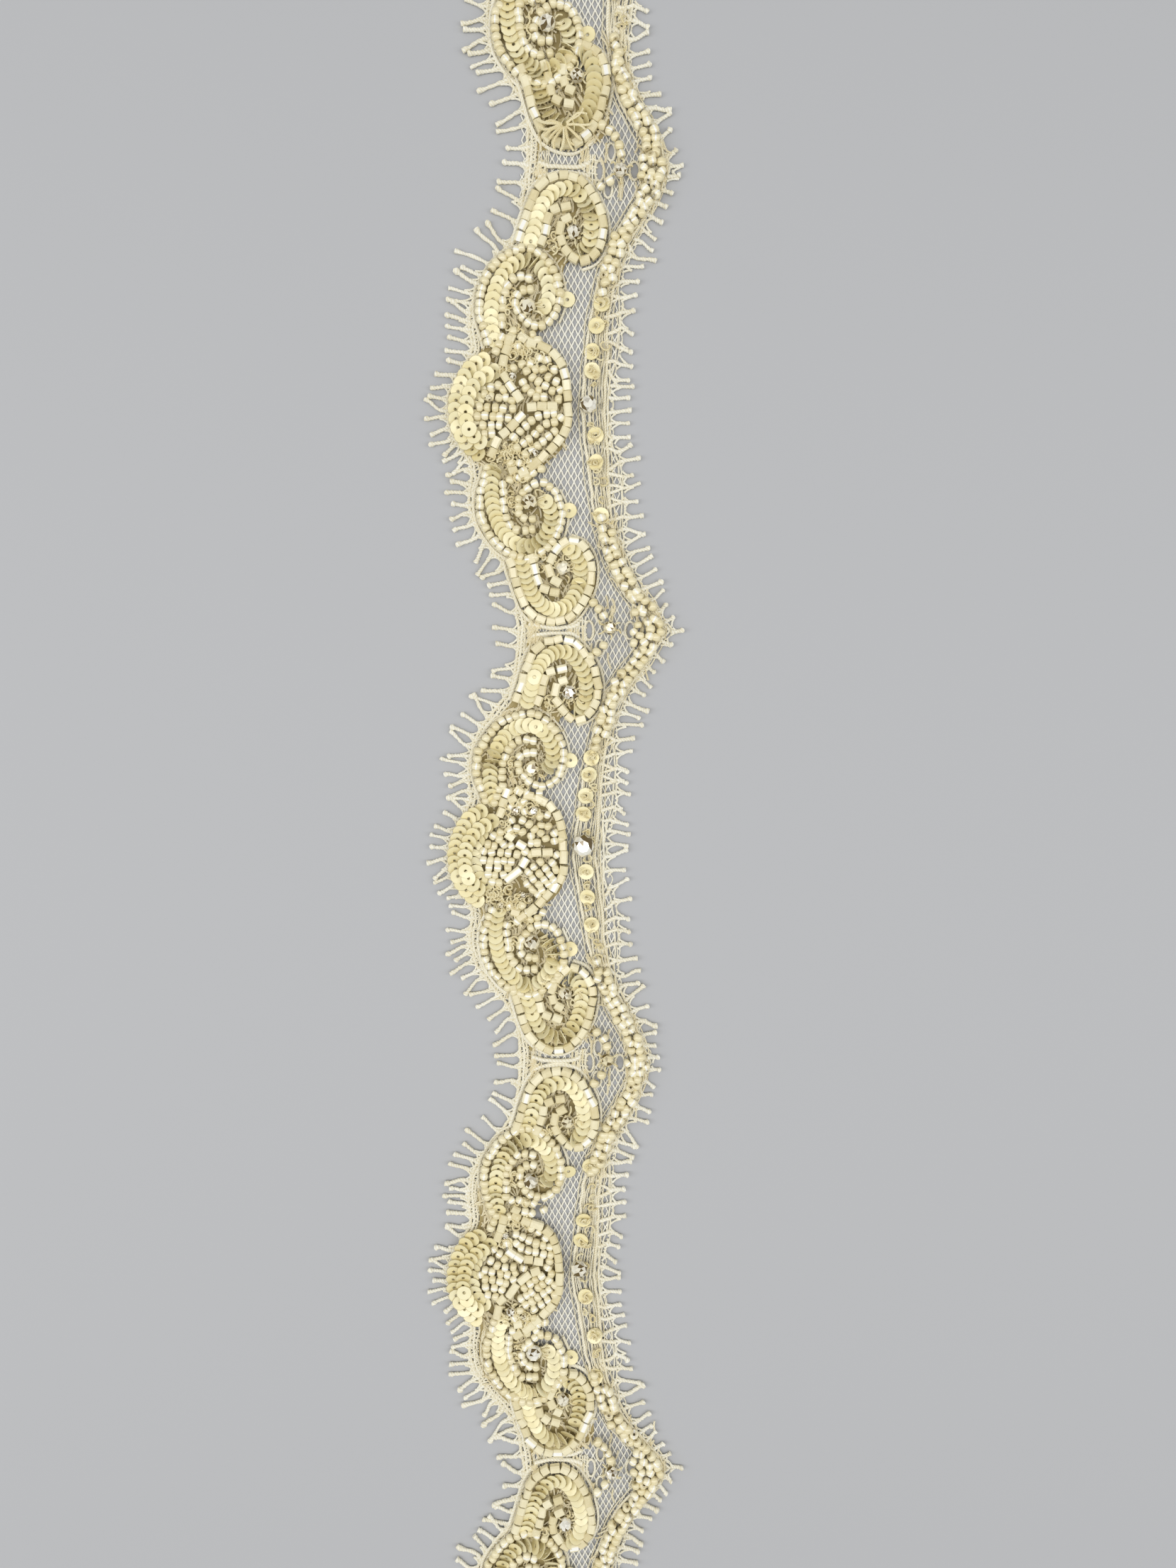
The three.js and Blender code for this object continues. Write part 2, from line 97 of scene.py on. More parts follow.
def down_the_length(v, x):
    """Control points of a line that keeps to x at each v, over every half repeat from the top end down."""
    v, x = np.asarray(v, float), np.asarray(x, float)
    rows = []
    for name, half in HALVES.items():
        keep = v >= CUT_V if name in ENDS else v >= 0
        p = place(name, x[keep], v[keep])
        rows.append(p[::-1] if half[1] > 0 else p)
        rows[-1] = rows[-1] if name == "a_low" else rows[-1][1:]
    return np.concatenate(rows)


# the two cut ends of the trim
LOW_Y = HALVES["e_up"][0] + CUT_V / HALF_V * HALVES["e_up"][2]
HIGH_Y = HALVES["a_low"][0] - CUT_V / HALF_V * HALVES["a_low"][2]
# where the design's origin lies in the frame, from a crystal whose place in the design is known and the
# low end
ring_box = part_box("scroll_crystal_c_up")
ORIGIN = np.array([
    (ring_box[0].x + ring_box[1].x) / 2 / MM - place("c_up", -12.7, 19.4)[0],
    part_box("lace_ground")[0].y / MM - LOW_Y,
    0.0,
])

# ---- camera: above the trim, its top edge slightly nearer
scene = bpy.context.scene
cam_data = bpy.data.cameras.new("camera")
cam_data.sensor_fit = "AUTO"
cam_data.sensor_width = 36.0
cam_data.lens = 27.032549
cam_data.clip_start = 0.005
camera = bpy.data.objects.new("camera", cam_data)
camera.location = (ORIGIN[0] * MM, ORIGIN[1] * MM, 0.2418)
camera.rotation_euler = (math.radians(-4.7), 0, 0)
scene.collection.objects.link(camera)
scene.camera = camera


# ---- curves and frames
def spline(points, step):
    """A Catmull-Rom curve through the points, read again at even distances of about step along it."""
    p = np.asarray(points, float)
    if len(p) == 2:
        fine = p[0] + (p[1] - p[0]) * np.linspace(0, 1, 9)[:, None]
    else:
        q = np.concatenate([[2 * p[0] - p[1]], p, [2 * p[-1] - p[-2]]])
        t = np.linspace(0, 1, 8, endpoint=False)[:, None]
        a, b, c, d = (q[i:len(q) - 3 + i][:, None, :] for i in range(4))
        square, cube = 2 * a - 5 * b + 4 * c - d, 3 * b - a - 3 * c + d
        fine = 0.5 * (2 * b + (c - a) * t + square * t**2 + cube * t**3)
        fine = np.concatenate([fine.reshape(-1, p.shape[1]), p[-1:]])
    s = distance(fine)
    n = max(int(round(s[-1] / step)), 2)
    return at_distance(fine, s, np.linspace(0, s[-1], n + 1))


def distance(path):
    """Distance along a path at each of its points, summed from the lengths between them."""
    return np.concatenate([[0], np.cumsum(np.linalg.norm(np.diff(path, axis=0), axis=1))])


def at_distance(path, s, want):
    """The path's points at the wanted distances, by straight steps between its own points."""
    return np.stack([np.interp(want, s, path[:, k]) for k in range(path.shape[1])], -1)


def unit(steps):
    """Directions brought to a length of one."""
    return steps / np.maximum(np.linalg.norm(steps, axis=-1, keepdims=True), 1e-9)


def left_of(direction):
    """Flat directions turned a quarter to the left."""
    return np.stack([-direction[..., 1], direction[..., 0]], -1)


def heading(path):
    """Unit direction at each point, from the central difference of its neighbours."""
    return unit(np.gradient(path, axis=-2))


def step_at(path, s, where, reach):
    """The step from reach before to reach after each distance along a path."""
    return at_distance(path, s, where + reach) - at_distance(path, s, where - reach)


def offset(path, by):
    """The path moved sideways by a distance, square to its direction; to the left of travel for by > 0."""
    return path + left_of(heading(path)) * np.broadcast_to(by, len(path))[:, None]


def read_down(line, y, values=None):
    """x at heights y of a line that runs down the trim, or other values given at its points, by straight
    steps."""
    return np.interp(y, line[::-1, 1], (line[:, 0] if values is None else values)[::-1])


def lift(flat, z):
    """Flat points, a path or many paths, given a height at each point."""
    return np.concatenate([flat, np.broadcast_to(z, flat.shape[:-1])[..., None]], -1)


# ---- heaps of small shapes, each heap one piece
class Heap:
    """Gathers vertices, faces, a pair of surface coordinates for each corner, and for each vertex a tone
    and how much painted shade darkens it, from 0 to 1, kept as its ground value."""

    def __init__(self):
        self.co, self.faces, self.tone, self.ground, self.uv, self.size = [], [], [], [], [], 0

    def add(self, co, faces, tone, uv, ground=0.0):
        self.co.append(co.reshape(-1, 3))
        self.faces += [f + self.size for f in faces]
        self.tone.append(np.broadcast_to(tone, len(self.co[-1])))
        self.ground.append(np.broadcast_to(ground, len(self.co[-1])))
        self.uv += [u.reshape(-1, 2) for u in uv]
        self.size += len(self.co[-1])

    def piece(self, name, material, slot, smooth=180, replaces=()):
        """One mesh from all that was gathered: corners listed face after face, starts from running
        totals."""
        mesh = bpy.data.meshes.new(name)
        co = (np.concatenate(self.co) + ORIGIN) * MM
        corners = np.concatenate([f.ravel() for f in self.faces])
        sizes = np.concatenate([np.full(len(f), f.shape[1]) for f in self.faces])
        mesh.vertices.add(len(co))
        mesh.vertices.foreach_set("co", co.astype(np.float32).ravel())
        mesh.loops.add(len(corners))
        mesh.loops.foreach_set("vertex_index", corners.astype(np.int32))
        mesh.polygons.add(len(sizes))
        mesh.polygons.foreach_set("loop_start", (np.cumsum(sizes) - sizes).astype(np.int32))
        uv = mesh.uv_layers.new(name="surface")
        uv.data.foreach_set("uv", np.concatenate(self.uv).astype(np.float32).ravel())
        # the value kept as ground is painted shade, which takes a vertex towards a darker colour
        for label, values in (("tone", self.tone), ("ground", self.ground)):
            layer = mesh.attributes.new(label, "FLOAT", "POINT")
            layer.data.foreach_set("value", np.concatenate(values).astype(np.float32))
        mesh.update(calc_edges=True)
        mesh.validate()
        if smooth > 0:
            mesh.shade_smooth()
            if smooth < 180:
                mesh.set_sharp_from_angle(angle=math.radians(smooth))
        else:
            mesh.shade_flat()
        mesh.materials.append(material)
        piece = bpy.data.objects.new(name, mesh)
        scene.collection.objects.link(piece)
        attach(piece, "root")
        if replaces:
            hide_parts(*replaces)
        print(name, "triangles", int((sizes - 2).sum()))
        return piece


def ring_faces(rings, sides, closed):
    """Quads between neighbouring rings of a grid that wraps around its sides, and also end to end if
    closed."""
    i = np.arange(rings if closed else rings - 1)[:, None]
    j = np.arange(sides)[None, :]
    k, l = (i + 1) % rings, (j + 1) % sides
    return np.stack([i * sides + j, k * sides + j, k * sides + l, i * sides + l], -1).reshape(-1, 4)


def turned(profile, sides, angles=None):
    """A closed profile of (x, r) carried round the x axis: (x, r cos a, r sin a), for even angles a if
    none are given."""
    p = np.asarray(profile, float)
    a = 2 * np.pi * np.arange(sides) / sides if angles is None else np.radians(angles)
    co = np.stack([np.repeat(p[:, :1], sides, 1), p[:, 1:] * np.cos(a), p[:, 1:] * np.sin(a)], -1)
    return face_out(co.reshape(-1, 3), [ring_faces(len(p), sides, True)])


def face_out(co, faces):
    """Turns every face over if the volume summed over the faces' fans comes out negative."""
    volume = 0.0
    for f in faces:
        for k in range(1, f.shape[1] - 1):
            a, b, c = co[f[:, 0]], co[f[:, k]], co[f[:, k + 1]]
            volume += np.einsum("ij,ij->", a, np.cross(b, c))
    return co, [f[:, ::-1] for f in faces] if volume < 0 else faces


def strew(heap, shape, centres, frames, scales, tones, shade_low_down=0.0, shade=0.0, corners=None):
    """Copies of one shape: each vertex is scaled along the copy's axes, turned by its frame and moved.
    Painted shade darkens each copy towards its bottom, by the amount given for it times (1 - share of the
    way up it), and never less than its own painted shade given as shade. Its surface coordinates are its
    own first two, unless pairs for its corners are given."""
    co, faces = shape
    n = len(centres)
    if n == 0:
        return
    put = np.einsum("nij,nvj->nvi", frames, co[None] * scales[:, None, :]) + centres[:, None, :]
    low, high = put[..., 2].min(1)[:, None], put[..., 2].max(1)[:, None]
    # painted shade, darker towards the bottom of each copy
    ground = np.reshape(shade_low_down, (-1, 1)) * (1 - (put[..., 2] - low) / np.maximum(high - low, 1e-6))
    ground = np.maximum(ground, shade)
    step = (np.arange(n) * len(co))[:, None, None]
    many = [(f[None] + step).reshape(-1, f.shape[1]) for f in faces]
    flat = [np.tile(c, (n, 1, 1)) for c in (corners or [co[f][..., :2] for f in faces])]
    heap.add(put, many, np.repeat(tones, len(co)), flat, np.broadcast_to(ground, put.shape[:2]).ravel())


def tubes(heap, paths, radius, sides=8, turn=0.0, depth=0.16, tone=None):
    """Cords along many paths at once: around each path the radius is r (1 + depth cos 2(a - 2 pi s /
    turn)), a being the angle round the cord and s the distance along it, so that two plies wind round
    each other."""
    paths = np.asarray(paths, float)
    m, n = paths.shape[:2]
    t = heading(paths)
    side = unit(np.cross([0.0, 0.0, 1.0], t))
    up = np.cross(t, side)
    s = np.concatenate([np.zeros((m, 1)), np.cumsum(np.linalg.norm(np.diff(paths, axis=1), axis=2), 1)], 1)
    a = 2 * np.pi * np.arange(sides) / sides
    r = np.broadcast_to(radius, (m, n))[..., None] * np.ones(sides)
    if turn:
        r = r * (1 + depth * np.cos(2 * (a - 2 * np.pi * s[..., None] / turn)))
    co = paths[:, :, None] + r[..., None] * (
        np.cos(a)[:, None] * side[:, :, None] + np.sin(a)[:, None] * up[:, :, None])
    quads = ring_faces(n, sides, False)
    caps = np.stack([np.arange(sides), (n - 1) * sides + np.arange(sides)[::-1]])
    step = (np.arange(m) * n * sides)[:, None, None]
    u = np.stack([s[:, :-1], s[:, 1:], s[:, 1:], s[:, :-1]], -1)[:, :, None].repeat(sides, 2)
    j = np.arange(sides)
    w = np.broadcast_to(np.stack([j, j, j + 1, j + 1], -1) / sides, u.shape)
    tone = rng.random(m) if tone is None else np.broadcast_to(tone, m)
    faces, caps = (quads[None] + step).reshape(-1, 4), (caps[None] + step).reshape(-1, sides)
    faces, caps = faces[:, ::-1], caps[:, ::-1]
    heap.add(co, [faces, caps], np.repeat(tone, n * sides),
             [np.stack([u, w], -1).reshape(-1, 4, 2)[:, ::-1], np.zeros((2 * m, sides, 2))])


def strung(path, lengths, slack=0.04):
    """Beads on a string: each takes its own length of the path. Gives middles, directions and lengths."""
    fine = spline(path, 0.15)
    s = distance(fine)
    ends = np.cumsum(lengths + slack)
    lengths = lengths[ends < s[-1] + 0.35]
    if len(lengths) == 0:
        return np.zeros((0, 2)), np.zeros((0, 2)), lengths
    stretch = s[-1] / (lengths.sum() + slack * len(lengths))
    mids = (np.cumsum(lengths + slack) - (lengths + slack) / 2) * stretch
    return at_distance(fine, s, mids), unit(step_at(fine, s, mids, 0.2)), lengths


def lying(direction, wobble):
    """Frames whose x axis runs along a flat direction, turned a little in plan and tipped a little, in
    radians."""
    n = len(direction)
    yaw = np.arctan2(direction[:, 1], direction[:, 0]) + stray(wobble, n)
    tip = stray(wobble, n)
    x = np.stack([np.cos(yaw) * np.cos(tip), np.sin(yaw) * np.cos(tip), np.sin(tip)], -1)
    y = np.stack([-np.sin(yaw), np.cos(yaw), np.zeros(n)], -1)
    return np.stack([x, y, np.cross(x, y)], -1)


# ---- the small shapes
SEED_PROFILE = [(-0.72, 0.26), (-0.70, 0.56), (-0.52, 0.84), (0.0, 1.0), (0.52, 0.84), (0.70, 0.56),
                (0.72, 0.26)]
TUBE_PROFILE = [(-1.0, 0.36), (-1.0, 0.86), (-0.9, 1.0), (0.9, 1.0), (1.0, 0.86), (1.0, 0.36)]
# square in section, its four corners each cut by a small flat
TUBE_ANGLES = [32, 58, 122, 148, 212, 238, 302, 328]
# a sequin's profile of (z, r), and how much painted shade darkens its rim and the edge of its hole,
# standing for the dark lines of shade where sequins overlap
SEQUIN_PROFILE = [(-0.13, 0.30), (-0.03, 1.42), (0.04, 1.60), (0.15, 1.60), (0.13, 1.49), (0.03, 0.46),
                  (0.0, 0.30)]
SEQUIN_SIDES = 12
SEQUIN_SHADE = np.repeat([0.3, 0.0, 0.62, 0.62, 0.0, 0.0, 0.55], SEQUIN_SIDES)
FOIL_PROFILE = [(-0.06, 0.02), (0.0, 0.36), (0.44, 1.0), (0.48, 0.96), (0.10, 0.30), (0.05, 0.02)]
# a stone's rings: radius, height and turn in sides
STONE_RINGS = [(0.30, 0.0, 0.0), (0.78, 0.22, 0.5), (1.0, 0.48, 0.0), (0.84, 0.78, 0.5), (0.54, 1.0, 0.0)]


def turned_up(profile, sides):
    """A closed profile of (z, r) carried round the z axis: (r cos a, r sin a, z)."""
    co, faces = turned(profile, sides)
    return face_out(co[:, [1, 2, 0]], faces)


def cut_stone(sides=8):
    """A faceted stone of unit radius and height: rings of points, each turned by half a side from the
    last and joined to it by triangles, closed by a flat table cut into wedges, as the lower facets show
    through it, and by a small flat culet."""
    j = np.arange(sides)
    ahead = (j + 1) % sides
    co, tris = [], []
    for radius, height, turn in STONE_RINGS:
        a = 2 * np.pi * (j + turn) / sides
        co.append(np.stack([radius * np.cos(a), radius * np.sin(a), np.full(sides, height)], -1))
    for i, (low, high) in enumerate(zip(STONE_RINGS, STONE_RINGS[1:])):
        k, l = i * sides, (i + 1) * sides
        if high[2] > low[2]:
            pairs = [(k + j, k + ahead, l + j), (k + ahead, l + ahead, l + j)]
        else:
            pairs = [(k + j, l + ahead, l + j), (k + j, k + ahead, l + ahead)]
        tris += [np.stack(corners, -1) for corners in pairs]
    top = (len(STONE_RINGS) - 1) * sides
    co.append(np.array([[0, 0, STONE_RINGS[-1][1]]]))
    tris.append(np.stack([top + j, top + ahead, np.full(sides, top + sides)], -1))
    return face_out(np.concatenate(co), [np.concatenate(tris), j[::-1][None]])


SEED = turned(SEED_PROFILE, 8)
TUBE_BEAD = turned(TUBE_PROFILE, 8, TUBE_ANGLES)
SEQUIN = turned_up(SEQUIN_PROFILE, SEQUIN_SIDES)
STONE = cut_stone()
FOIL = turned_up(FOIL_PROFILE, 8)

seeds, tube_beads, sequins, stones, foils = Heap(), Heap(), Heap(), Heap(), Heap()
net, cords, picots_left, picots_right, gimps, purl = Heap(), Heap(), Heap(), Heap(), Heap(), Heap()

# heights over the surface that the trim lies on
SEED_Z, SEQUIN_Z, NET_Z, CORD_Z, BAND_Z = 1.95, 1.05, 0.32, 0.48, 0.85
# what is sewn on already: rows of x, y and radius
taken = []


def inside(points, outline):
    """Even-odd rule: a point is inside if a ray from it to the right crosses the outline an odd number of
    times."""
    a, b = outline, np.roll(outline, -1, 0)
    x, y = points[:, :1], points[:, 1:]
    spans = (a[:, 1] > y) != (b[:, 1] > y)
    rise = np.where(b[:, 1] == a[:, 1], 1e-9, b[:, 1] - a[:, 1])
    cross = a[:, 0] + (y - a[:, 1]) / rise * (b[:, 0] - a[:, 0])
    return ((x < cross) & spans).sum(1) % 2 == 1


def gaps_in(outline, apart, clear):
    """Middles for beads that fill what is left of an outline: points of a shuffled triangular grid, each
    kept if it is clear of everything already sewn on, and then taken itself."""
    low, high = outline.min(0), outline.max(0)
    gx, gy = np.meshgrid(np.arange(low[0], high[0], 0.42), np.arange(low[1], high[1], 0.36))
    grid = np.stack([gx + 0.21 * (np.arange(len(gx)) % 2)[:, None], gy], -1).reshape(-1, 2)
    grid = rng.permutation(grid[inside(grid, outline)])
    there = np.concatenate(taken)
    grid = grid[(np.linalg.norm(grid[:, None] - there[None, :, :2], axis=2) > clear + there[:, 2]).all(1)]
    kept = []
    while len(grid):
        kept.append(grid[0])
        grid = grid[np.linalg.norm(grid - grid[0], axis=1) > apart]
    kept = np.array(kept).reshape(-1, 2)
    taken.append(np.c_[kept, np.full(len(kept), apart / 2)])
    return kept


def bead_row(heap, bead, path, lengths, z, wobble, width, loose, slack, full, uneven):
    """Beads strung along a path, their lengths taken in turn from a short list, each a little bigger,
    smaller or turned than the next. full is the length of the unscaled bead, and uneven gives how far
    lengths, widths and heights stray. Gives the beads' middles, directions and lengths."""
    n = int(distance(spline(path, 0.3))[-1] / min(lengths)) + 4
    want = np.tile(lengths, n // len(lengths) + 1)[:n] * (1 + stray(uneven[0], n))
    p, d, lengths = strung(path, want, slack)
    n = len(p)
    if n:
        scale = np.stack([lengths / full, *(width * (1 + stray(uneven[1], (2, n))))], -1)
        centres = lift(p + stray(loose, (n, 2)), z + stray(uneven[2], n))
        strew(heap, bead, centres, lying(d, wobble), scale, rng.random(n))
        p = centres[:, :2] if heap is seeds else p
    return p, d, lengths


def seed_row(path, pitch=1.48, z=SEED_Z, wobble=0.17, width=1.0, loose=0.09):
    """A string of seed beads along a path."""
    uneven = (0.05, 0.045, 0.10)
    p, _, _ = bead_row(seeds, SEED, path, (pitch,), z, wobble, width, loose, 0.04, 1.4, uneven)
    taken.append(np.c_[p, np.full(len(p), 0.72)])


def seeds_in_gaps(outline, z=SEED_Z - 0.1, apart=1.5, clear=0.62):
    """Seed beads turned any way in what is left of an outline."""
    p = gaps_in(outline, apart, clear)
    n = len(p)
    way = rng.random(n) * np.pi
    scale = np.stack([1 + stray(0.05, n), *(0.97 * (1 + stray(0.045, (2, n))))], -1)
    centres = lift(p, z + stray(0.12, n))
    strew(seeds, SEED, centres, lying(np.stack([np.cos(way), np.sin(way)], -1), 0.2), scale, rng.random(n))


def tube_row(path, lengths=(2.0, 2.0, 2.15, 1.9), z=SEED_Z, wobble=0.09, width=1.0):
    """A string of satin tube beads along a path."""
    uneven = (0.03, 0.03, 0.08)
    p, d, lengths = bead_row(tube_beads, TUBE_BEAD, path, lengths, z, wobble, width, 0.06, 0.1, 2, uneven)
    for share in (-0.3, 0, 0.3):
        taken.append(np.c_[p + d * (lengths * share)[:, None], np.full(len(p), 0.78)])


def sequin_row(path, roll, pitch=1.3, size=1.0, z=SEQUIN_Z):
    """Overlapping cup sequins. roll is the angle in degrees between a sequin's axis and the vertical,
    leant along the row, at even shares of the path: axis = cos(roll) up + sin(roll) ahead. A steep one
    stands on its lower rim."""
    n = int(distance(spline(path, 0.3))[-1] / pitch) + 4
    p, d, _ = strung(path, pitch * (1 + stray(0.05, n)), 0)
    n = len(p)
    if n == 0:
        return
    roll = np.interp(np.linspace(0, 1, n), np.linspace(0, 1, len(roll)), roll)
    a = np.radians(roll + stray(5, n))
    yaw = np.arctan2(d[:, 1], d[:, 0]) + stray(0.14, n)
    ahead = np.stack([np.cos(yaw), np.sin(yaw), np.zeros(n)], -1)
    axis = np.cos(a)[:, None] * np.array([0, 0, 1.0]) + np.sin(a)[:, None] * ahead
    across = np.cross([0, 0, 1.0], ahead) + stray(0.08, (n, 3))
    across -= axis * np.einsum("ij,ij->i", across, axis)[:, None]
    across /= np.linalg.norm(across, axis=1, keepdims=True)
    frames = np.stack([across, np.cross(axis, across), axis], -1)
    big = size * (1 + stray(0.03, n))
    high = np.maximum(z + 0.9, z + 1.45 * np.abs(np.sin(a)) * big) + rng.random(n) * 0.12
    # painted shade: tilted sequins go darker towards their low side, and flatter ones get dark rims and
    # hole edges, standing for the shade between overlapping sequins
    flat = np.clip((0.97 - np.abs(np.sin(a))) / 0.3, 0.1, 1)
    strew(sequins, SEQUIN, lift(p, high), frames, np.repeat(big[:, None], 3, 1), rng.random(n),
          shade_low_down=0.16 * np.abs(np.sin(a)), shade=flat[:, None] * SEQUIN_SHADE)
    taken.append(np.c_[p, np.full(n, 1.15)])


def loose_sequin(x, y, z=1.3, size=1.0, lean=0.16):
    """One sequin lying nearly flat: its axis is the vertical with a small random lean each way."""
    tilt = stray(lean, 2)
    axis = np.array([tilt[0], tilt[1], 1.0]) / math.sqrt(1 + tilt @ tilt)
    across = np.cross([0, 1.0, 0], axis)
    across /= np.linalg.norm(across)
    axes = np.stack([across, np.cross(axis, across), axis], -1)
    # painted shade on its rim and round its hole
    strew(sequins, SEQUIN, np.array([[x, y, z]]), axes[None], np.full((1, 3), size), rng.random(1),
          shade=SEQUIN_SHADE[None])


# the four shades of painted reflection on a facet, standing for the sparkle of a lit cut stone, and
# what share of the facets takes each
FACET_SHADES, FACET_SHARES = (0.0, 0.03, 0.08, 0.17), (0.46, 0.18, 0.14, 0.22)


def stone(x, y, diameter, height, z=1.15):
    """A cut crystal in a foil cup; the cup is the crystal's lower half, a little wider. Each facet takes
    one of four shades of painted reflection, lighter or darker at random as the sparkle of a lit cut stone
    would make it."""
    turn = rng.random() * 0.8
    c, s = math.cos(turn), math.sin(turn)
    axes = np.array([[[c, -s, 0], [s, c, 0], [0, 0, 1.0]]])
    r = diameter / 2
    corners = []
    for faces in STONE[1]:
        shade = rng.choice(FACET_SHADES, (len(faces), 1, 1), p=FACET_SHARES)
        shade = np.repeat(shade, faces.shape[1], 1)
        corners.append(np.concatenate([shade, 0 * shade], -1))
    size = np.array([[r, r, height]])
    strew(stones, STONE, np.array([[x, y, z]]), axes, size, rng.random(1), corners=corners)
    strew(foils, FOIL, np.array([[x, y, z - 0.12]]), axes, np.array([[r, r, height]]), rng.random(1))
    taken.append(np.array([[x, y, r]]))


# ---- scrolls. Each is drawn round its own middle: a to the right, b towards the neck, in millimetres.
def in_scroll(half, middle, points):
    """Points (a, b) of a scroll put on the trim: x = middle x + a, y = middle y + way * b."""
    p = np.asarray(points, float)
    return np.stack([middle[0] + p[:, 0], middle[1] + HALVES[half][1] * p[:, 1]], -1)


# outer and inner seed rows of a side scroll, and its row of sequins
SIDE_EDGE = [(-8.2, -7.4), (-9.0, -4.6), (-9.8, -2), (-10, 0.5), (-9.4, 4), (-6.9, 8), (-4, 10.2),
             (0, 11.2), (4, 8.6), (6, 5), (6.4, 1.5), (5, -2.2), (2.4, -3.7), (-0.2, -2.9), (-2.3, -0.2),
             (-2.2, 2.3), (-0.4, 3.3), (1.3, 3.1)]
SIDE_LINE = [(-5.3, -4.4), (-5.3, -1.5), (-5.1, 1.8), (-4, 4.3), (-2, 5.8), (1.2, 5.3)]
SIDE_CUPS = [(-6.7, -7.2), (-7.45, -4.6), (-7.65, -2.4), (-7.3, 1), (-6.15, 4.5), (-4.1, 7.3),
             (-1.2, 8.75), (1, 8.4), (3.1, 6.7), (4.25, 4), (4.15, 1.4), (2.8, -0.6)]
# half repeat: middle of the scroll, widening to the left, pitch and roll of its sequins along the row
SIDE_SCROLLS = {
    "a_low": ((-8.0, 128.3), 1.00, 1.5, (-12, -12, -14, -14, -30, -45, -70, -72, -140, -150)),
    "b_up": ((-12.0, 75.0), 0.94, 1.55, (-14, -14, -16, -22, -30, -36, -70, -140, -158, -160)),
    "b_low": ((-11.7, 37.0), 1.00, 1.35, (70, 38, 34, 26, 18, 24, 68, 35, 26, 20)),
    "c_up": ((-11.5, -16.5), 1.12, 1.4, (-28, -32, -34, -70, -30, -14, 12, 14, -20, -34, -38, -66)),
    "c_low": ((-11.5, -52.5), 1.00, 1.4, (-40, -44, -14, -26, -30, -34, -72, -140, -148, -72, -70)),
    "d_up": ((-12.0, -103.3), 0.98, 1.5, (-20, -26, -14, -22, -30, -36, -60, -20, -16, -30, -36, -75)),
    "d_low": ((-11.5, -141.0), 1.00, 1.5, (-16, -14, -14, -24, -30, -36, -70, -145, -156, -160)),
    "e_up": ((-12.0, -193.0), 1.00, 1.5, (-16, -20, -26, -30, -60, -140, -150)),
}
# outer and inner tube rows of a neck scroll, and its row of sequins
NECK_EDGE = [(-9.2, -4.6), (-8.2, -1.4), (-7.2, 1.8), (-5.4, 5.7), (-2.8, 7.6), (0.4, 8.1), (3.4, 6.9),
             (5.8, 3.9), (7.2, 0.2), (7.3, -3.6), (5.6, -6.9), (2.9, -8.1), (0.5, -6.3), (-1, -3.4),
             (-0.5, -0.8), (1.4, 0.4)]
NECK_LINE = [(-5.0, -5.4), (-3.9, -2.4), (-3.5, -0.4), (-2.5, 1.4), (1.2, 2.5)]
NECK_CUPS = [(-7.0, -5.0), (-6.1, -2.2), (-5.6, -0.2), (-4.7, 2.2), (-2.8, 4.6), (-0.4, 5.7), (2, 5.1),
             (4.1, 2.6), (5.1, -0.8), (4.8, -4.2), (3.4, -6.2), (2.2, -6.5)]
# how much longer some neck scrolls reach towards their neck
TALLER = {"a_low": 1.24, "c_low": 1.15, "d_low": 1.16, "e_up": 1.235}
# half repeat: middle of the scroll, pitch and roll of its sequins along the row
NECK_SCROLLS = {
    "a_low": ((-3.9, 116.0), 1.35, (-30, -44, -54, -58, -60, -60, -58, -56, -60)),
    "b_up": ((-4.5, 91.8), 1.45, (-20, -26, -14, -22, -24, -24, -26, -60, -20, -16, -70)),
    "b_low": ((-6.7, 21.3), 1.3, (-30, -28, -26, -24, -16, -24, -28, -60, 28, 26, 30)),
    "c_up": ((-5.5, 1.5), 1.3, (20, 16, -12, -18, -28, -34, -34, -36, -34, -34, -36, -70)),
    "c_low": ((-6.5, -66.0), 1.4, (-30, -24, -14, -40, -70, -72, -30, -20, -14, -24, -70)),
    "d_up": ((-6.0, -88.0), 1.5, (-24, -20, -18, -30, -14, -14, -14, -16, -30, -60)),
    "d_low": ((-7.0, -154.0), 1.4, (-16, -14, -16, -30, -70, -50, -30, -30, -30, -28)),
    "e_up": ((-6.6, -177.0), 1.45, (-14, -14, -16, -20, -24, -40, -24, -30, -50)),
}


def wire_spokes(middle, count, near, far, start, sweep, z=1.5, thick=0.19):
    """Bent purl wires fanned round a crystal: arcs from the near to the far radius, rising and falling as a
    half sine between their ends."""
    a = np.radians(start + sweep * (np.arange(count) + 0.5) / count) + stray(0.09, count)
    t = np.linspace(0, 1, 6)
    reach = near + (far - near) * t[None] * (1 + stray(0.08, (count, 1)))
    bend = a[:, None] + 0.16 * np.sin(np.pi * t)[None] * stray(1, (count, 1))
    path = np.stack([middle[0] + reach * np.cos(bend), middle[1] + reach * np.sin(bend),
                     z + 0.75 * np.sin(np.pi * (0.15 + 0.7 * t))[None] * np.ones((count, 1))], -1)
    tubes(purl, path, thick, sides=5)


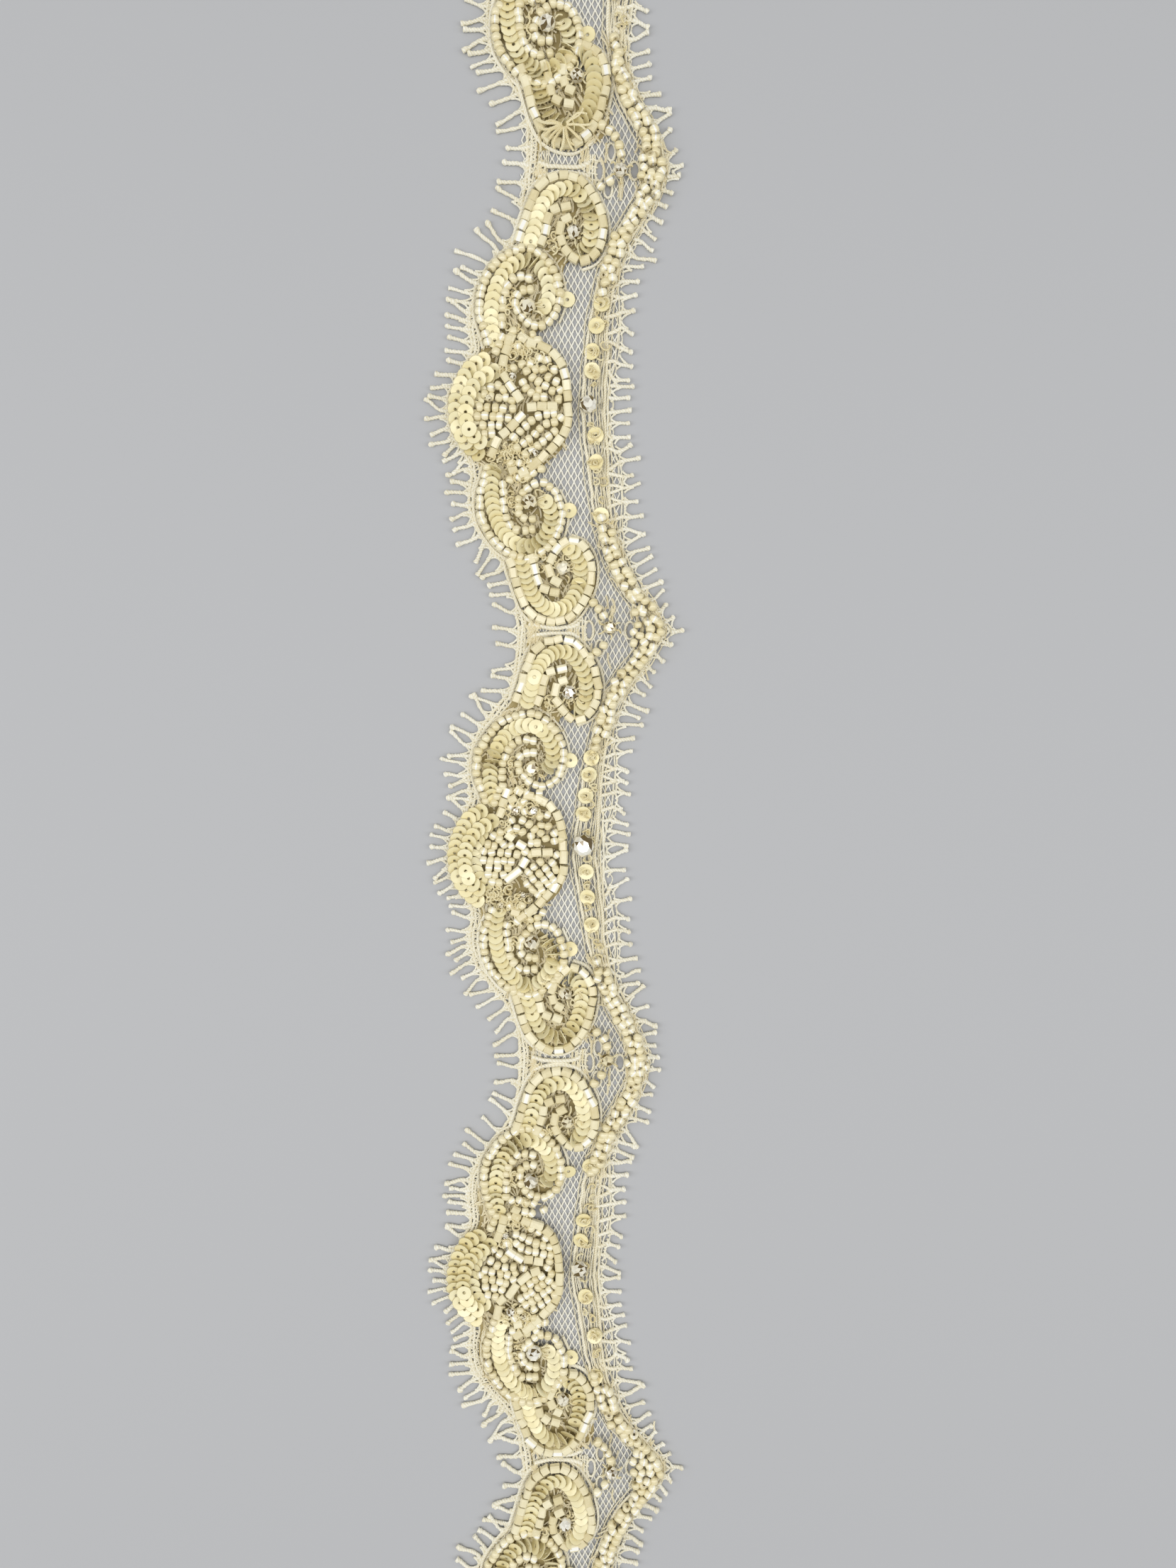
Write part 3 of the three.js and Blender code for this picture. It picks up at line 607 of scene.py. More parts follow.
def purl_tangle(centre, spread, count, z=1.45):
    """Short crinkled loops of purl wire: each a small hoop of radius about half a millimetre, tipped at
    random and opened out along one direction as a stretched coil."""
    t = np.linspace(0, 1, 9)
    base = np.asarray(centre) + stray(1, (count, 2)) * np.asarray(spread)
    way = rng.random(count) * 2 * np.pi
    size = 0.46 + 0.32 * rng.random(count)
    a = 2 * np.pi * (0.95 * t[None] + rng.random((count, 1)))
    along = 0.9 * (t - 0.5)[None] * np.cos(way)[:, None], 0.9 * (t - 0.5)[None] * np.sin(way)[:, None]
    path = np.stack([base[:, :1] + size[:, None] * np.cos(a) + along[0],
                     base[:, 1:] + size[:, None] * 0.8 * np.sin(a) + along[1],
                     z + 0.35 + 0.42 * np.sin(a + way[:, None]) + 0.5 * rng.random((count, 1))], -1)
    tubes(purl, path, 0.2, sides=5)


def side_points(half, rows):
    """Points of a side scroll on the trim, its left half widened or narrowed."""
    middle, wide = SIDE_SCROLLS[half][:2]
    return in_scroll(half, middle, [(a * wide if a < 0 else a, b) for a, b in rows])


def neck_points(half, rows):
    """Points of a neck scroll on the trim, its side towards the neck made longer where it is a tall one."""
    tall = TALLER.get(half, 1.0)
    return in_scroll(half, NECK_SCROLLS[half][0], [(a, b * tall if b > 0 else b) for a, b in rows])


# the outline of a side scroll's foot, which seeds fill
SIDE_FOOT = [(-5.0, -4.0), (-1.0, -4.4), (1.6, -4.9), (2.8, -6.4), (1.0, -7.7), (-2.2, -7.9),
             (-4.6, -7.9)]
for half, (middle, _, pitch, roll) in SIDE_SCROLLS.items():
    way = HALVES[half][1]
    seed_row(side_points(half, SIDE_EDGE))
    seed_row(side_points(half, SIDE_LINE))
    sequin_row(side_points(half, SIDE_CUPS), roll, pitch)
    stone(*middle, 3.5, 2.5)
    wire_spokes(middle, 5, 1.6, 3.4, -40 * way, 70 * way)
    purl_tangle(side_points(half, [(-3.6, 0.2)])[0], (0.5, 1.2), 7)
    loose_sequin(*side_points(half, [(7.9, 1.6)])[0], z=1.25)
    tube_row(side_points(half, [(-4.6, -6.1), (-2.2, -6.3)]), (1.9,), wobble=0.3)
    seeds_in_gaps(side_points(half, SIDE_FOOT))
    purl_tangle(side_points(half, [(-2.6, -4.6)])[0], (0.9, 0.4), 4)

for half, (_, pitch, roll) in NECK_SCROLLS.items():
    eye, right_of_eye, foot = neck_points(half, [(1.7, -2.6), (2.4, -2.9), (-2.3, -4.4)])
    tube_row(neck_points(half, NECK_EDGE), (2.0, 2.05, 1.9, 2.0, 2.0, 2.6, 2.0, 1.9))
    tube_row(neck_points(half, NECK_LINE))
    sequin_row(neck_points(half, NECK_CUPS), roll, pitch)
    stone(*eye, 3.1, 2.2)
    wire_spokes(eye, 7, 1.3, 3.1, 0, 360)
    purl_tangle(right_of_eye, (1.1, 1.1), 6)
    purl_tangle(foot, (0.6, 1.3), 6)

# a star of wires on the highest neck scroll
wire_spokes((-4.6, 108.9), 15, 0.5, 4.7, 150, 260, z=3.1, thick=0.26)

# ---- shells, drawn round their middle: x from the trim's line, v up from the shell's middle
# sequin rows of a shell's lobe: points, roll, and how much higher they lie
LOBE_ROWS = [
    ([(-20.9, 9.8), (-24.0, 8.2), (-26.1, 5.2), (-27.2, 1.6), (-27.2, -1.8), (-26.3, -4.8), (-24.6, -7.4),
      (-22.0, -9.6)], (24, 26, 20, 26, 22, -22, -26), 0.0),
    ([(-20.2, 7.0), (-22.6, 5.6), (-24.4, 3.2), (-25.2, 0.2), (-25.0, -2.8), (-23.8, -5.2), (-21.6, -7.2)],
     (20, 26, 24, 22, 20, -20, -26), 0.55),
    ([(-19.0, 8.0), (-21.3, 5.6), (-22.9, 2.8), (-23.4, -0.4), (-22.6, -3.8), (-20.2, -6.4)],
     (14, 12, 10, 10, -12), -0.35),
]
# what is laid on each shell alone, from its middle: rows of seeds; veins of tube beads with their lengths;
# crystals by x, y and diameter; and tangles of purl by x, y, spread each way and count
SHELL_WORK = {
    "b": {
        "seeds": [[(-19.0, 5.6), (-16.9, 4.0)], [(-21.2, 3.4), (-18.6, 2.5), (-15.6, 2.4)],
                  [(-22.4, 0.7), (-18.0, 0.4), (-14.2, 0.2)],
                  [(-22.9, -1.2), (-19.0, -1.2), (-15.2, -1.6)], [(-21.8, -2.9), (-17.0, -3.1)],
                  [(-21.4, -4.6), (-18.2, -4.6)], [(-13.4, 6.0), (-12.2, 4.2), (-10.6, 2.7), (-8.0, 2.6)],
                  [(-13.4, 9.6), (-11.4, 6.7), (-9.0, 5.0), (-6.4, 3.4)],
                  [(-9.4, 8.6), (-8.2, 6.7), (-5.4, 5.1)], [(-17.8, 9.4), (-15.9, 9.0)],
                  [(-15.4, -5.9), (-12.4, -3.0), (-9.6, -1.0), (-6.0, -0.6)],
                  [(-14.8, -7.9), (-11.0, -5.0), (-8.6, -2.8), (-5.9, -2.2)],
                  [(-13.0, -9.0), (-9.8, -6.8), (-6.2, -3.7)]],
        "veins": [([(-16.9, 7.4), (-15.2, 4.2), (-13.2, 1.6)], (2.1,)),
                  ([(-12.2, 0.4), (-6.0, 0.8)], (2.0,)),
                  ([(-12.8, -0.4), (-15.2, -3.2), (-18.2, -6.0), (-19.4, -9.4)], (2.0, 2.2))],
        "stones": [(-15.0, 6.6, 1.7), (-19.8, 2.3, 1.8), (-10.6, -8.4, 1.6)],
        "purl": [(-14.2, 12.0, 1.5, 0.7, 22), (-10.8, 10.4, 1.3, 0.9, 19), (-15.8, -8.6, 1.8, 1.2, 33),
                 (-12.2, -10.6, 1.0, 0.7, 12), (-16.4, 7.6, 0.9, 0.9, 10)],
    },
    "c": {
        "seeds": [[(-20.0, 5.0), (-17.6, 3.4)], [(-21.2, 2.9), (-18.8, 2.4)],
                  [(-20.6, 1.2), (-17.0, 1.2), (-13.8, 0.6)],
                  [(-22.2, -0.2), (-19.8, -0.5), (-15.0, -0.9)], [(-21.2, -1.9), (-15.6, -2.1)],
                  [(-21.4, -3.4), (-16.6, -3.5)], [(-20.4, -4.9), (-17.6, -5.0)],
                  [(-16.6, 5.4), (-14.8, 6.2), (-13.0, 5.0)],
                  [(-14.2, 8.2), (-12.2, 7.0), (-10.0, 5.4), (-8.2, 3.4)], [(-12.3, 3.2), (-9.6, 3.1)],
                  [(-8.8, 7.2), (-7.2, 5.4), (-4.8, 3.4)], [(-12.8, -3.4), (-10.9, -1.6), (-9.2, -0.3)],
                  [(-13.2, -5.8), (-9.2, -2.6), (-6.6, -0.4)],
                  [(-11.9, -7.0), (-8.6, -4.2), (-5.9, -2.0)],
                  [(-10.9, -8.2), (-8.8, -6.0), (-6.4, -4.0)],
                  [(-13.7, 1.9), (-12.1, 0.9), (-11.0, 0.3)]],
        "veins": [([(-17.2, 5.4), (-14.8, 3.7), (-12.4, 1.8)], (2.1,)),
                  ([(-11.6, 1.2), (-7.3, 1.3)], (2.1,)),
                  ([(-12.6, 0.2), (-14.2, -2.3), (-17.0, -5.0)], (2.1, 4.0))],
        "stones": [(-14.8, 9.8, 2.1), (-11.2, 9.8, 2.0), (-13.3, -7.6, 1.5), (-11.9, -8.6, 1.4),
                   (-17.9, -9.7, 1.7)],
        "purl": [(-14.4, 10.8, 1.2, 0.9, 18), (-11.0, 9.6, 1.1, 0.8, 15), (-18.2, -7.6, 2.0, 1.0, 28),
                 (-15.2, -9.4, 1.6, 1.0, 25), (-16.6, 7.4, 0.9, 0.8, 9)],
    },
    "d": {
        "seeds": [[(-20.4, 7.0), (-18.4, 5.2), (-17.2, 4.2)], [(-21.2, 4.6), (-18.6, 2.9), (-15.0, 2.7)],
                  [(-22.6, 2.2), (-19.4, 1.4), (-16.2, 0.8)],
                  [(-22.4, 0.3), (-19.0, -0.3), (-16.6, -0.9)],
                  [(-22.4, -1.4), (-19.4, -1.8), (-17.4, -2.6)], [(-22.0, -3.2), (-18.8, -3.9)],
                  [(-14.8, 7.3), (-11.7, 6.2), (-7.2, 5.2)],
                  [(-15.9, 10.3), (-12.8, 8.8), (-10.4, 7.8), (-7.2, 7.0)],
                  [(-12.4, 12.0), (-10.0, 10.0), (-8.4, 8.6)], [(-14.2, -2.2), (-9.2, 1.3)],
                  [(-14.8, -4.6), (-7.6, 0.4)], [(-13.8, -6.0), (-6.4, -0.9)],
                  [(-12.0, -6.8), (-6.2, -2.8)]],
        "veins": [([(-17.2, 6.7), (-14.1, 4.7), (-9.4, 4.0)], (2.0,)), ([(-9.0, 3.1), (-6.4, 2.9)], (3.0,)),
                  ([(-10.0, 2.3), (-12.2, 1.5), (-14.8, -0.8), (-16.8, -3.2), (-18.8, -4.9), (-19.3, -8.6)],
                   (2.1, 3.2, 3.6))],
        "stones": [(-16.4, -7.0, 2.2), (-13.6, -8.0, 1.5), (-17.4, 9.8, 1.6)],
        "purl": [(-14.2, 12.4, 1.4, 0.8, 19), (-17.2, 8.6, 0.9, 1.2, 13), (-16.0, -7.4, 1.4, 1.1, 25),
                 (-13.0, -9.4, 1.6, 0.9, 18)],
    },
}
# tube rows round the leaves
LEAF_EDGE_LEFT = [(-16.4, 14.0), (-17.2, 11.0), (-18.0, 8.2)]
LEAF_EDGE = [(-14.8, 14.0), (-12.6, 12.7), (-10.2, 12.0), (-7.9, 10.6), (-6.1, 8.4), (-5.2, 5.0),
             (-4.9, 1.2), (-5.0, -2.8), (-6.1, -5.2), (-7.6, -7.2), (-9.6, -9.2), (-12.0, -11.4),
             (-14.6, -13.1)]
# outlines of the two parts of a shell that are filled with seeds
HEART = [(-21.2, 4.8), (-22.4, 1.0), (-22.2, -3.0), (-20.6, -5.6), (-17.0, -5.2), (-14.0, -0.8),
         (-14.0, 2.2), (-17.6, 5.8)]
LEAVES = [(-16.2, 8.0), (-13.4, 10.0), (-8.6, 9.6), (-6.4, 6.6), (-5.8, -2.6), (-8.2, -6.6),
          (-14.6, -11.6), (-13.0, -5.0), (-12.6, 3.0)]
# how far to the right the rows that all shells share lie on each
SHELL_JOG = {"b": 0.3, "c": 0.0, "d": -0.2}
for shell, work in SHELL_WORK.items():
    at = lambda rows: on_shell(shell, [(x + SHELL_JOG[shell], v) for x, v in rows])
    for row, roll, up in LOBE_ROWS:
        sequin_row(at(row), roll, pitch=1.62, z=SEQUIN_Z - 0.1 + up)
    tube_row(at(LEAF_EDGE_LEFT))
    tube_row(at(LEAF_EDGE), (2.0, 2.1, 2.8, 2.0, 1.9, 2.0))
    seed_row(at([(-17.9, 14.4), (-18.7, 12.2), (-19.5, 10.4)]))
    laid = lambda rows: np.array(rows) + [0, HALVES[SHELLS[shell][0]][0]]
    for row in work["seeds"]:
        seed_row(laid(row), pitch=1.42, wobble=0.14, loose=0.06)
    for row, lengths in work["veins"]:
        tube_row(laid(row), lengths)
    for x, y, d in work["stones"]:
        stone(*laid([(x, y)])[0], d, 1.5, z=1.5)
    for x, y, wide, tall, count in work["purl"]:
        purl_tangle(laid([(x, y)])[0], (wide, tall), count)
    seeds_in_gaps(at(HEART), clear=0.6)
    seeds_in_gaps(at(LEAVES), clear=0.66)

# the crystals on the band: x, v, diameter and height
BAND_STONES = {"b": (-0.6, 1.0, 3.6, 2.2), "c": (-0.9, 2.6, 4.7, 2.7), "d": (-0.9, 2.5, 3.7, 2.3)}
for shell, (x, v, wide, tall) in BAND_STONES.items():
    stone(*on_shell(shell, [(x, v)])[0], wide, tall, z=1.6)

# ---- lace edges, the band and the rows that run to the peaks, by v from a shell's middle
LEFT_V, LEFT_X = zip((0, -28.8), (3, -28.5), (6, -27.0), (9, -25.2), (12, -24.0), (16, -24.5), (20, -24.3),
                     (24, -22.9), (28, -20.2), (32, -16.9), (36, -15.1), (40, -14.5), (43, -14.2),
                     (45, -14.1))
RIGHT_V, RIGHT_X = zip((0, 4.0), (3, 4.0), (6, 4.7), (9, 5.9), (12, 6.9), (16, 7.6), (20, 7.9), (24, 7.7),
                       (28, 8.1), (32, 9.6), (36, 11.2), (40, 13.2), (43, 15.6), (45, 17.4))
BAND_V, BAND_X = zip((0, 1.3), (12, 1.8), (18.5, 2.6), (26, 4.4), (31.5, 6.2), (36, 8.6),
                     (40.2, 11.6), (45, 13.6))
LEFT_EDGE = spline(down_the_length(LEFT_V, LEFT_X), 0.4)
RIGHT_EDGE = spline(down_the_length(RIGHT_V, RIGHT_X), 0.4)
BAND_LINE = spline(down_the_length(BAND_V, BAND_X), 0.4)
# the band leans towards the motifs between its peaks: height on the trim, and how far
ASIDE_Y, ASIDE = zip((-138, 0), (-131, -0.6), (-125, -1.4), (-114, -0.4), (-104, -0.3), (-97, 0),
                     (-56, 0), (-47, -0.4), (-35, -2.0), (-22, -0.7), (-12, 0),
                     (40, 0), (46, -0.2), (55, -0.9), (66, -0.3), (76, 0))
BAND_LINE[:, 0] += np.interp(BAND_LINE[:, 1], ASIDE_Y, ASIDE)


def station(y):
    """v, the distance from the nearest shell's middle in design millimetres, at a height y on the trim."""
    v = np.full(np.shape(y), 99.0)
    for shell_y, way, reach, *_ in HALVES.values():
        here = (y - shell_y) * way / reach * HALF_V
        v = np.where((here >= 0) & (here <= HALF_V), here, v)
    return v


def smooth_noise(n, scale):
    """A smooth random line of n values near -1 to 1: random knots every scale values joined by straight
    steps."""
    knots = stray(0.6, int(n / scale) + 3)
    return np.interp(np.arange(n) / scale, np.arange(len(knots)), knots)


def cord(heap, path, radius, z, sides=6, step=0.6, turn=1.5, wander=0.0, depth=0.16):
    """One cord laid along a flat path, wandering sideways and in height by smooth noise."""
    s = distance(path)
    n = max(int(s[-1] / step), 2)
    p = at_distance(path, s, np.linspace(0, s[-1], n + 1))
    if wander:
        p = offset(p, wander * smooth_noise(len(p), 4))
    high = np.maximum(z + 0.3 * radius * smooth_noise(len(p), 5), radius * (1 + depth) + 0.03)
    tubes(heap, lift(p, high)[None], radius, sides, turn, depth)


def zigzag(path, pitch, inner, outer):
    """A path that swings between two offsets as a cosine of the distance along it, with a whole swing
    each pitch."""
    s = distance(path)
    swing = 0.5 - 0.5 * np.cos(2 * np.pi * s / pitch)
    return offset(path, outer + (inner - outer) * swing)


# left edge: travel is down the length, so the trim lies to the left of travel
for by, r in [(0.1, 0.34), (0.85, 0.29), (1.55, 0.24)]:
    cord(cords, offset(LEFT_EDGE, by), r, CORD_Z, sides=7, step=0.5, wander=0.18)
cord(cords, zigzag(LEFT_EDGE, 2.1, 1.7, 0.2), 0.2, CORD_Z + 0.12, sides=6, step=0.4, wander=0.12)
for by in np.arange(2.1, 4.6, 0.42):
    cord(cords, offset(LEFT_EDGE, by), 0.13, NET_Z + 0.16, sides=4, step=0.8, turn=0, wander=0.35)


def uneven_steps(total, pitch, spread, start=1.6):
    """Distances from start to total at steps of about pitch, each step its own, and none past the end."""
    steps = pitch * (1 + spread * stray(1, int(total / pitch * 1.5)))
    s = start + np.cumsum(np.maximum(steps, 0.5 * pitch))
    return s[s < total - 1.6]


# right edge: rungs of thick cord that carry the picots, with thin threads from each picot's foot to the
# next
right_s = distance(RIGHT_EDGE)
FEET = uneven_steps(right_s[-1], 2.85, 0.12)


def how_open(s):
    """How far in from the right edge the rungs start, in millimetres: furthest beside the round loops."""
    v = station(at_distance(RIGHT_EDGE, right_s, s)[:, 1])
    return np.interp(v, [0, 4, 7, 12, 18, 22, 26, 45], [0.3, 0.3, 1.4, 2.8, 3.2, 2.9, 0.9, 0.4])


def from_right_edge(s, by):
    """The point at a distance down the right edge and another in from it."""
    inward = -left_of(unit(step_at(RIGHT_EDGE, right_s, s, 1)))
    return at_distance(RIGHT_EDGE, right_s, s) + inward * np.broadcast_to(by, len(s))[:, None]


def bowed(start, end, bow, count):
    """Paths from start to end, each bent sideways by its bow times a half sine."""
    t = np.linspace(0, 1, count)[None, :, None]
    d = end - start
    aside = left_of(unit(d))
    return start[:, None] + d[:, None] * t + aside[:, None] * (bow[:, None, None] * np.sin(np.pi * t))


def at_z(paths, z, spread=0.06):
    """Flat paths given one height each, a little apart."""
    high = z + spread * rng.random((len(paths), 1))
    return lift(paths, high)


foot = from_right_edge(FEET, 0.15)
lean = 1.3 * np.sign(rng.random(len(FEET)) - 0.35)
for share, shift, thick, keep in [(1.0, lean, 0.4, 0.0), (1.0, -lean, 0.3, 0.66)]:
    some = (rng.random(len(FEET)) >= keep) & (how_open(FEET) > 0.8)
    at_s = FEET[some] + shift[some] * rng.uniform(0.5, 1.2, some.sum())
    start = from_right_edge(at_s, how_open(FEET[some]) * share + 0.3)
    rungs = bowed(start, foot[some], stray(0.22, some.sum()), 11)
    swell = thick * (1 + 0.13 * stray(1, (len(rungs), 11)))
    tubes(cords, at_z(rungs, CORD_Z + 0.12), np.minimum(swell, 0.46), 7, 1.2, 0.17)
for k in range(2):
    some = rng.random(len(FEET) - 1) < 0.8
    start, end = foot[:-1][some], foot[1:][some]
    jog = stray(0.16, (len(start), 2))
    sag = bowed(start + jog, end + jog[::-1], rng.normal(0.18, 0.32, len(start)), 7)
    tubes(cords, at_z(sag, NET_Z + 0.2), 0.12, 4)
for share, by, r in [(0.0, 0.55, 0.17), (1.0, 0.35, 0.24), (1.0, 0.95, 0.2), (1.0, 1.5, 0.16)]:
    path = offset(RIGHT_EDGE, -how_open(right_s) * share - by)
    sides, turn = (6, 1.3) if r > 0.2 else (4, 0)
    cord(cords, path, r, CORD_Z - 0.02, sides=sides, step=0.6, turn=turn, wander=0.18)

# band: two gimp cords with satin threads between them, all the way down
band_v = station(BAND_LINE[:, 1])
half_band = np.interp(band_v, [0, 5, 12, 18.5, 26, 45], [2.2, 2.2, 2.0, 1.7, 1.5, 1.5])
for side, r in [(-1, 0.32), (1, 0.3)]:
    path = offset(BAND_LINE, side * half_band)
    cord(gimps, path, r, BAND_Z, sides=8, step=0.5, turn=1.1, wander=0.18, depth=0.12)
for share in np.linspace(-0.78, 0.78, 7):
    path = offset(BAND_LINE, share * half_band)
    cord(gimps, path, 0.15, BAND_Z - 0.1, sides=5, step=0.7, turn=0.9, wander=0.3)
for side in (-1, 1):
    path = offset(BAND_LINE, side * (half_band + 0.85))
    cord(gimps, path, 0.14, BAND_Z - 0.25, sides=5, step=0.8, wander=0.16)

# seed rows out to each peak, two side by side, on both half repeats of a neck
def arm(half, shift, start):
    """Points along the band from v = start to the neck, moved sideways."""
    v = np.linspace(start, HALF_V, 9)
    return place(half, np.interp(v, BAND_V, BAND_X) + shift, v)


# the upper half of the outline of a peak's tip, which seeds fill
TIP = ((9.6, 38.0), (11.6, 38.6), (15.6, 44.2))
for above, below in NECKS.values():
    for shift, start in [(-0.95, 21.5), (0.95, 24.0)]:
        row = np.concatenate([arm(above, shift, start), arm(below, shift, start)[::-1][1:]])
        seed_row(row, pitch=1.52, wobble=0.45, width=1.05, loose=0.24)
    tip = [place(above, *at) for at in TIP] + [place(below, *at) for at in TIP[::-1]]
    seeds_in_gaps(np.array(tip), apart=1.45, clear=0.6)

# sequins sewn on the band, each over two loops of purl: x and y on the trim
BAND_SEQUINS = [(2.7, 75.6), (1.7, 71.5), (0.8, 66.5), (0.8, 62.8), (1.5, 50.2), (1.6, 44.9), (2.6, 34.4),
                (0.7, -14.4), (0.2, -17.8), (-0.5, -22.2), (-0.9, -25.9), (-0.4, -37.9), (-0.1, -43.2),
                (0.7, -49.0), (0.4, -100.4), (-1.0, -112.2), (-1.5, -116.6), (-0.5, -129.0),
                (1.4, -137.7), (1.6, -146.8)]
for x, y in BAND_SEQUINS:
    loose_sequin(x, y, z=1.4, size=1.06)
    purl_tangle((x, y), (0.15, 0.15), 2, z=1.25)

# loops of purl worked along the band between its cords
for x, y in BAND_LINE[(band_v < 25) & (np.arange(len(BAND_LINE)) % 10 == 0)]:
    purl_tangle((x, y), (0.7, 1.0), 2, z=1.1)

# ---- neck curls: a bent row of seeds on each side of the neck crystal
# upper row, middle of the crystal and lower row, on the trim
CURLS = {
    "ab": ([(2, 110), (4, 108.5), (5.5, 107), (6.3, 105), (6.5, 103.2)], (6.4, 101),
           [(5.2, 99.4), (3.2, 98.5), (1.6, 97.4)]),
    "bc": ([(0.6, 17.8), (1.8, 16), (3.1, 14.9), (3.6, 13.8)], (4.4, 12),
           [(3.5, 9), (2, 7.3), (0.6, 6.3), (-0.3, 5.8)]),
    "cd": ([(1.2, -70.8), (2.8, -72.6), (3.9, -74.4), (4.1, -75.6)], (4, -77.5),
           [(3.4, -79.8), (2.2, -81.6), (0.7, -83.2)]),
    "de": ([(1.4, -160.4), (3.3, -162.2), (4.5, -164.2), (5, -166)], (5, -168),
           [(4.2, -170.2), (2.8, -171.8), (1.2, -172.8)]),
}
for upper, (x, y), lower in CURLS.values():
    seed_row(upper, pitch=1.5, wobble=0.25)
    seed_row(lower, pitch=1.5, wobble=0.25)
    stone(x, y, 2.9, 2.1)
    wire_spokes((x, y), 6, 1.2, 2.4, 0, 360, z=1.3)

# ---- fringe
# how far before and after a picot's root its edge is read for the edge's general run
GENERAL_RUN = 4
# a picot's radius at shares of its length
PICOT_RADIUS = (0, 0.1, 0.5, 0.82, 0.94, 0.985, 1), (0.32, 0.40, 0.37, 0.39, 0.56, 0.60, 0.48)


def fringe(heap, edge, outward, where, long_by_v):
    """Picots along an edge: each starts inside the edge cord, runs square to the edge's general run,
    bends by a quadratic in the distance out, and ends blunt, its radius swelling over the last sixth of
    its length."""
    n = len(where)
    s = distance(edge)
    root = at_distance(edge, s, where)
    ahead = step_at(edge, s, where, GENERAL_RUN)
    angle = np.arctan2(ahead[:, 1], ahead[:, 0]) + outward * np.pi / 2
    angle += 0.17 * np.sin(0.7 * np.arange(n)) + stray(0.10, n)
    long = np.interp(station(root[:, 1]), *long_by_v) * (1 + 0.12 * stray(1, n))
    t = np.linspace(0, 1, 17)
    bend = stray(0.13, (n, 1)) * t**2
    bend = bend + stray(0.05, (n, 1)) * np.sin(5 * t)
    reach = -0.6 + t[None] * (long[:, None] + 0.6)
    out = np.stack([np.cos(angle), np.sin(angle)], -1)[:, None]
    aside = left_of(out)
    flat = root[:, None] + out * reach[..., None] + aside * (bend * long[:, None])[..., None]
    rise = stray(0.10, (n, 1)) * t**2
    high = np.clip(CORD_Z - 0.02 + rise, 0.44, 0.85)
    uneven = 0.07 * stray(1, (n, 1)) + 0.06 * stray(1, (n, 17))
    radius = np.interp(t, *PICOT_RADIUS) * (1 + uneven)
    high = np.maximum(high, radius * 1.17 + 0.04)
    tubes(heap, lift(flat, high), radius, 8, 1.15, 0.17)


def webs(edge, outward, where, deep, count=4):
    """Thin threads that spread from each picot's root into the edge: straight runs from the root to points
    evenly spaced along a line a little way in, sagging sideways as a half sine."""
    s = distance(edge)
    start = np.repeat(where, count)
    spread = np.tile(np.linspace(-1.9, 1.9, count), len(where)) + stray(0.2, len(start))
    inner_line = offset(edge, -outward * deep)
    a = at_distance(edge, s, start)
    a = a + outward * 0.9 * left_of(step_at(edge, s, start, 1)) / 2
    b = at_distance(inner_line, s, start + spread)
    t = np.linspace(0, 1, 5)[None, :, None]
    path = a[:, None] + (b - a)[:, None] * t
    path[..., 0] += 0.12 * np.sin(np.pi * t[..., 0]) * stray(1, (len(a), 1))
    tubes(cords, lift(path, NET_Z + 0.14 + 0.1 * np.sin(np.pi * t[..., 0])), 0.12, 4)


def legs(heap, edge, outward, where):
    """Two legs to each picot: from the edge, a little to each side of its root, out to meet on it, each
    bowed outward as a half sine, so that a small opening is left between them."""
    s = distance(edge)
    root = np.repeat(where, 2)
    aside = np.tile([-1.0, 1.0], len(where)) * rng.uniform(0.8, 1.5, len(root))
    out = outward * left_of(unit(step_at(edge, s, root, GENERAL_RUN)))
    far = np.repeat(rng.uniform(1.3, 2.1, len(where)), 2)
    start = at_distance(edge, s, np.clip(root + aside, 0, s[-1]))
    end = at_distance(edge, s, root) + out * far[:, None]
    paths = bowed(start, end, 0.2 * np.sign(aside) * outward, 7)
    tubes(heap, at_z(paths, CORD_Z), 0.23, 6, 1.1, 0.15)


def roots(edge, pitch_by_v, spread=0.16):
    """Distances down an edge at which its picots stand, the pitch read from v at each in turn."""
    s = distance(edge)
    found, here = [], 1.6
    while here < s[-1] - 1.6:
        found.append(here)
        v = station(at_distance(edge, s, np.array([here]))[:, 1])[0]
        here += np.interp(v, *pitch_by_v) * (1 + spread * rng.normal())
    return np.array(found)


# by v: how far apart the left picots stand, and how long the left and the right ones are
LEFT_PITCH = (0, 6, 9, 14, 18, 22, 28, 36, 45), (1.75, 2.0, 2.6, 2.2, 1.75, 1.9, 2.5, 3.6, 3.9)
LEFT_LONG = (0, 12, 20, 28, 38, 45), (4.2, 4.4, 4.7, 5.5, 5.3, 4.9)
RIGHT_LONG = ((0, 6, 9, 12, 16, 20, 24, 28, 32, 36, 40, 43, 45),
              (4.0, 3.7, 3.2, 2.8, 2.7, 3.1, 4.4, 4.7, 4.1, 3.7, 3.2, 2.2, 2.0))
left_roots = roots(LEFT_EDGE, LEFT_PITCH)
fringe(picots_left, LEFT_EDGE, -1, left_roots, LEFT_LONG)
webs(LEFT_EDGE, -1, left_roots, 2.6)
legs(picots_left, LEFT_EDGE, -1, left_roots)
legs(picots_right, RIGHT_EDGE, 1, FEET)
fringe(picots_right, RIGHT_EDGE, 1, FEET, RIGHT_LONG)

# ---- net: upright threads that swing to meet their neighbours, so that the openings are diamonds
# x of the net's left side, by v
NET_LEFT_V, NET_LEFT_X = (0, 8, 12, 20, 28, 34, 45), (-6.5, -7.5, -10.5, -9.5, -7.5, -13.5, -13.6)
# eyelets on each half repeat: x, v, width and height
EYELETS = [(0.4, 45.0, 1.3, 3.4), (8.6, 45.0, 1.5, 3.0), (2.6, 41.6, 1.2, 2.8)]


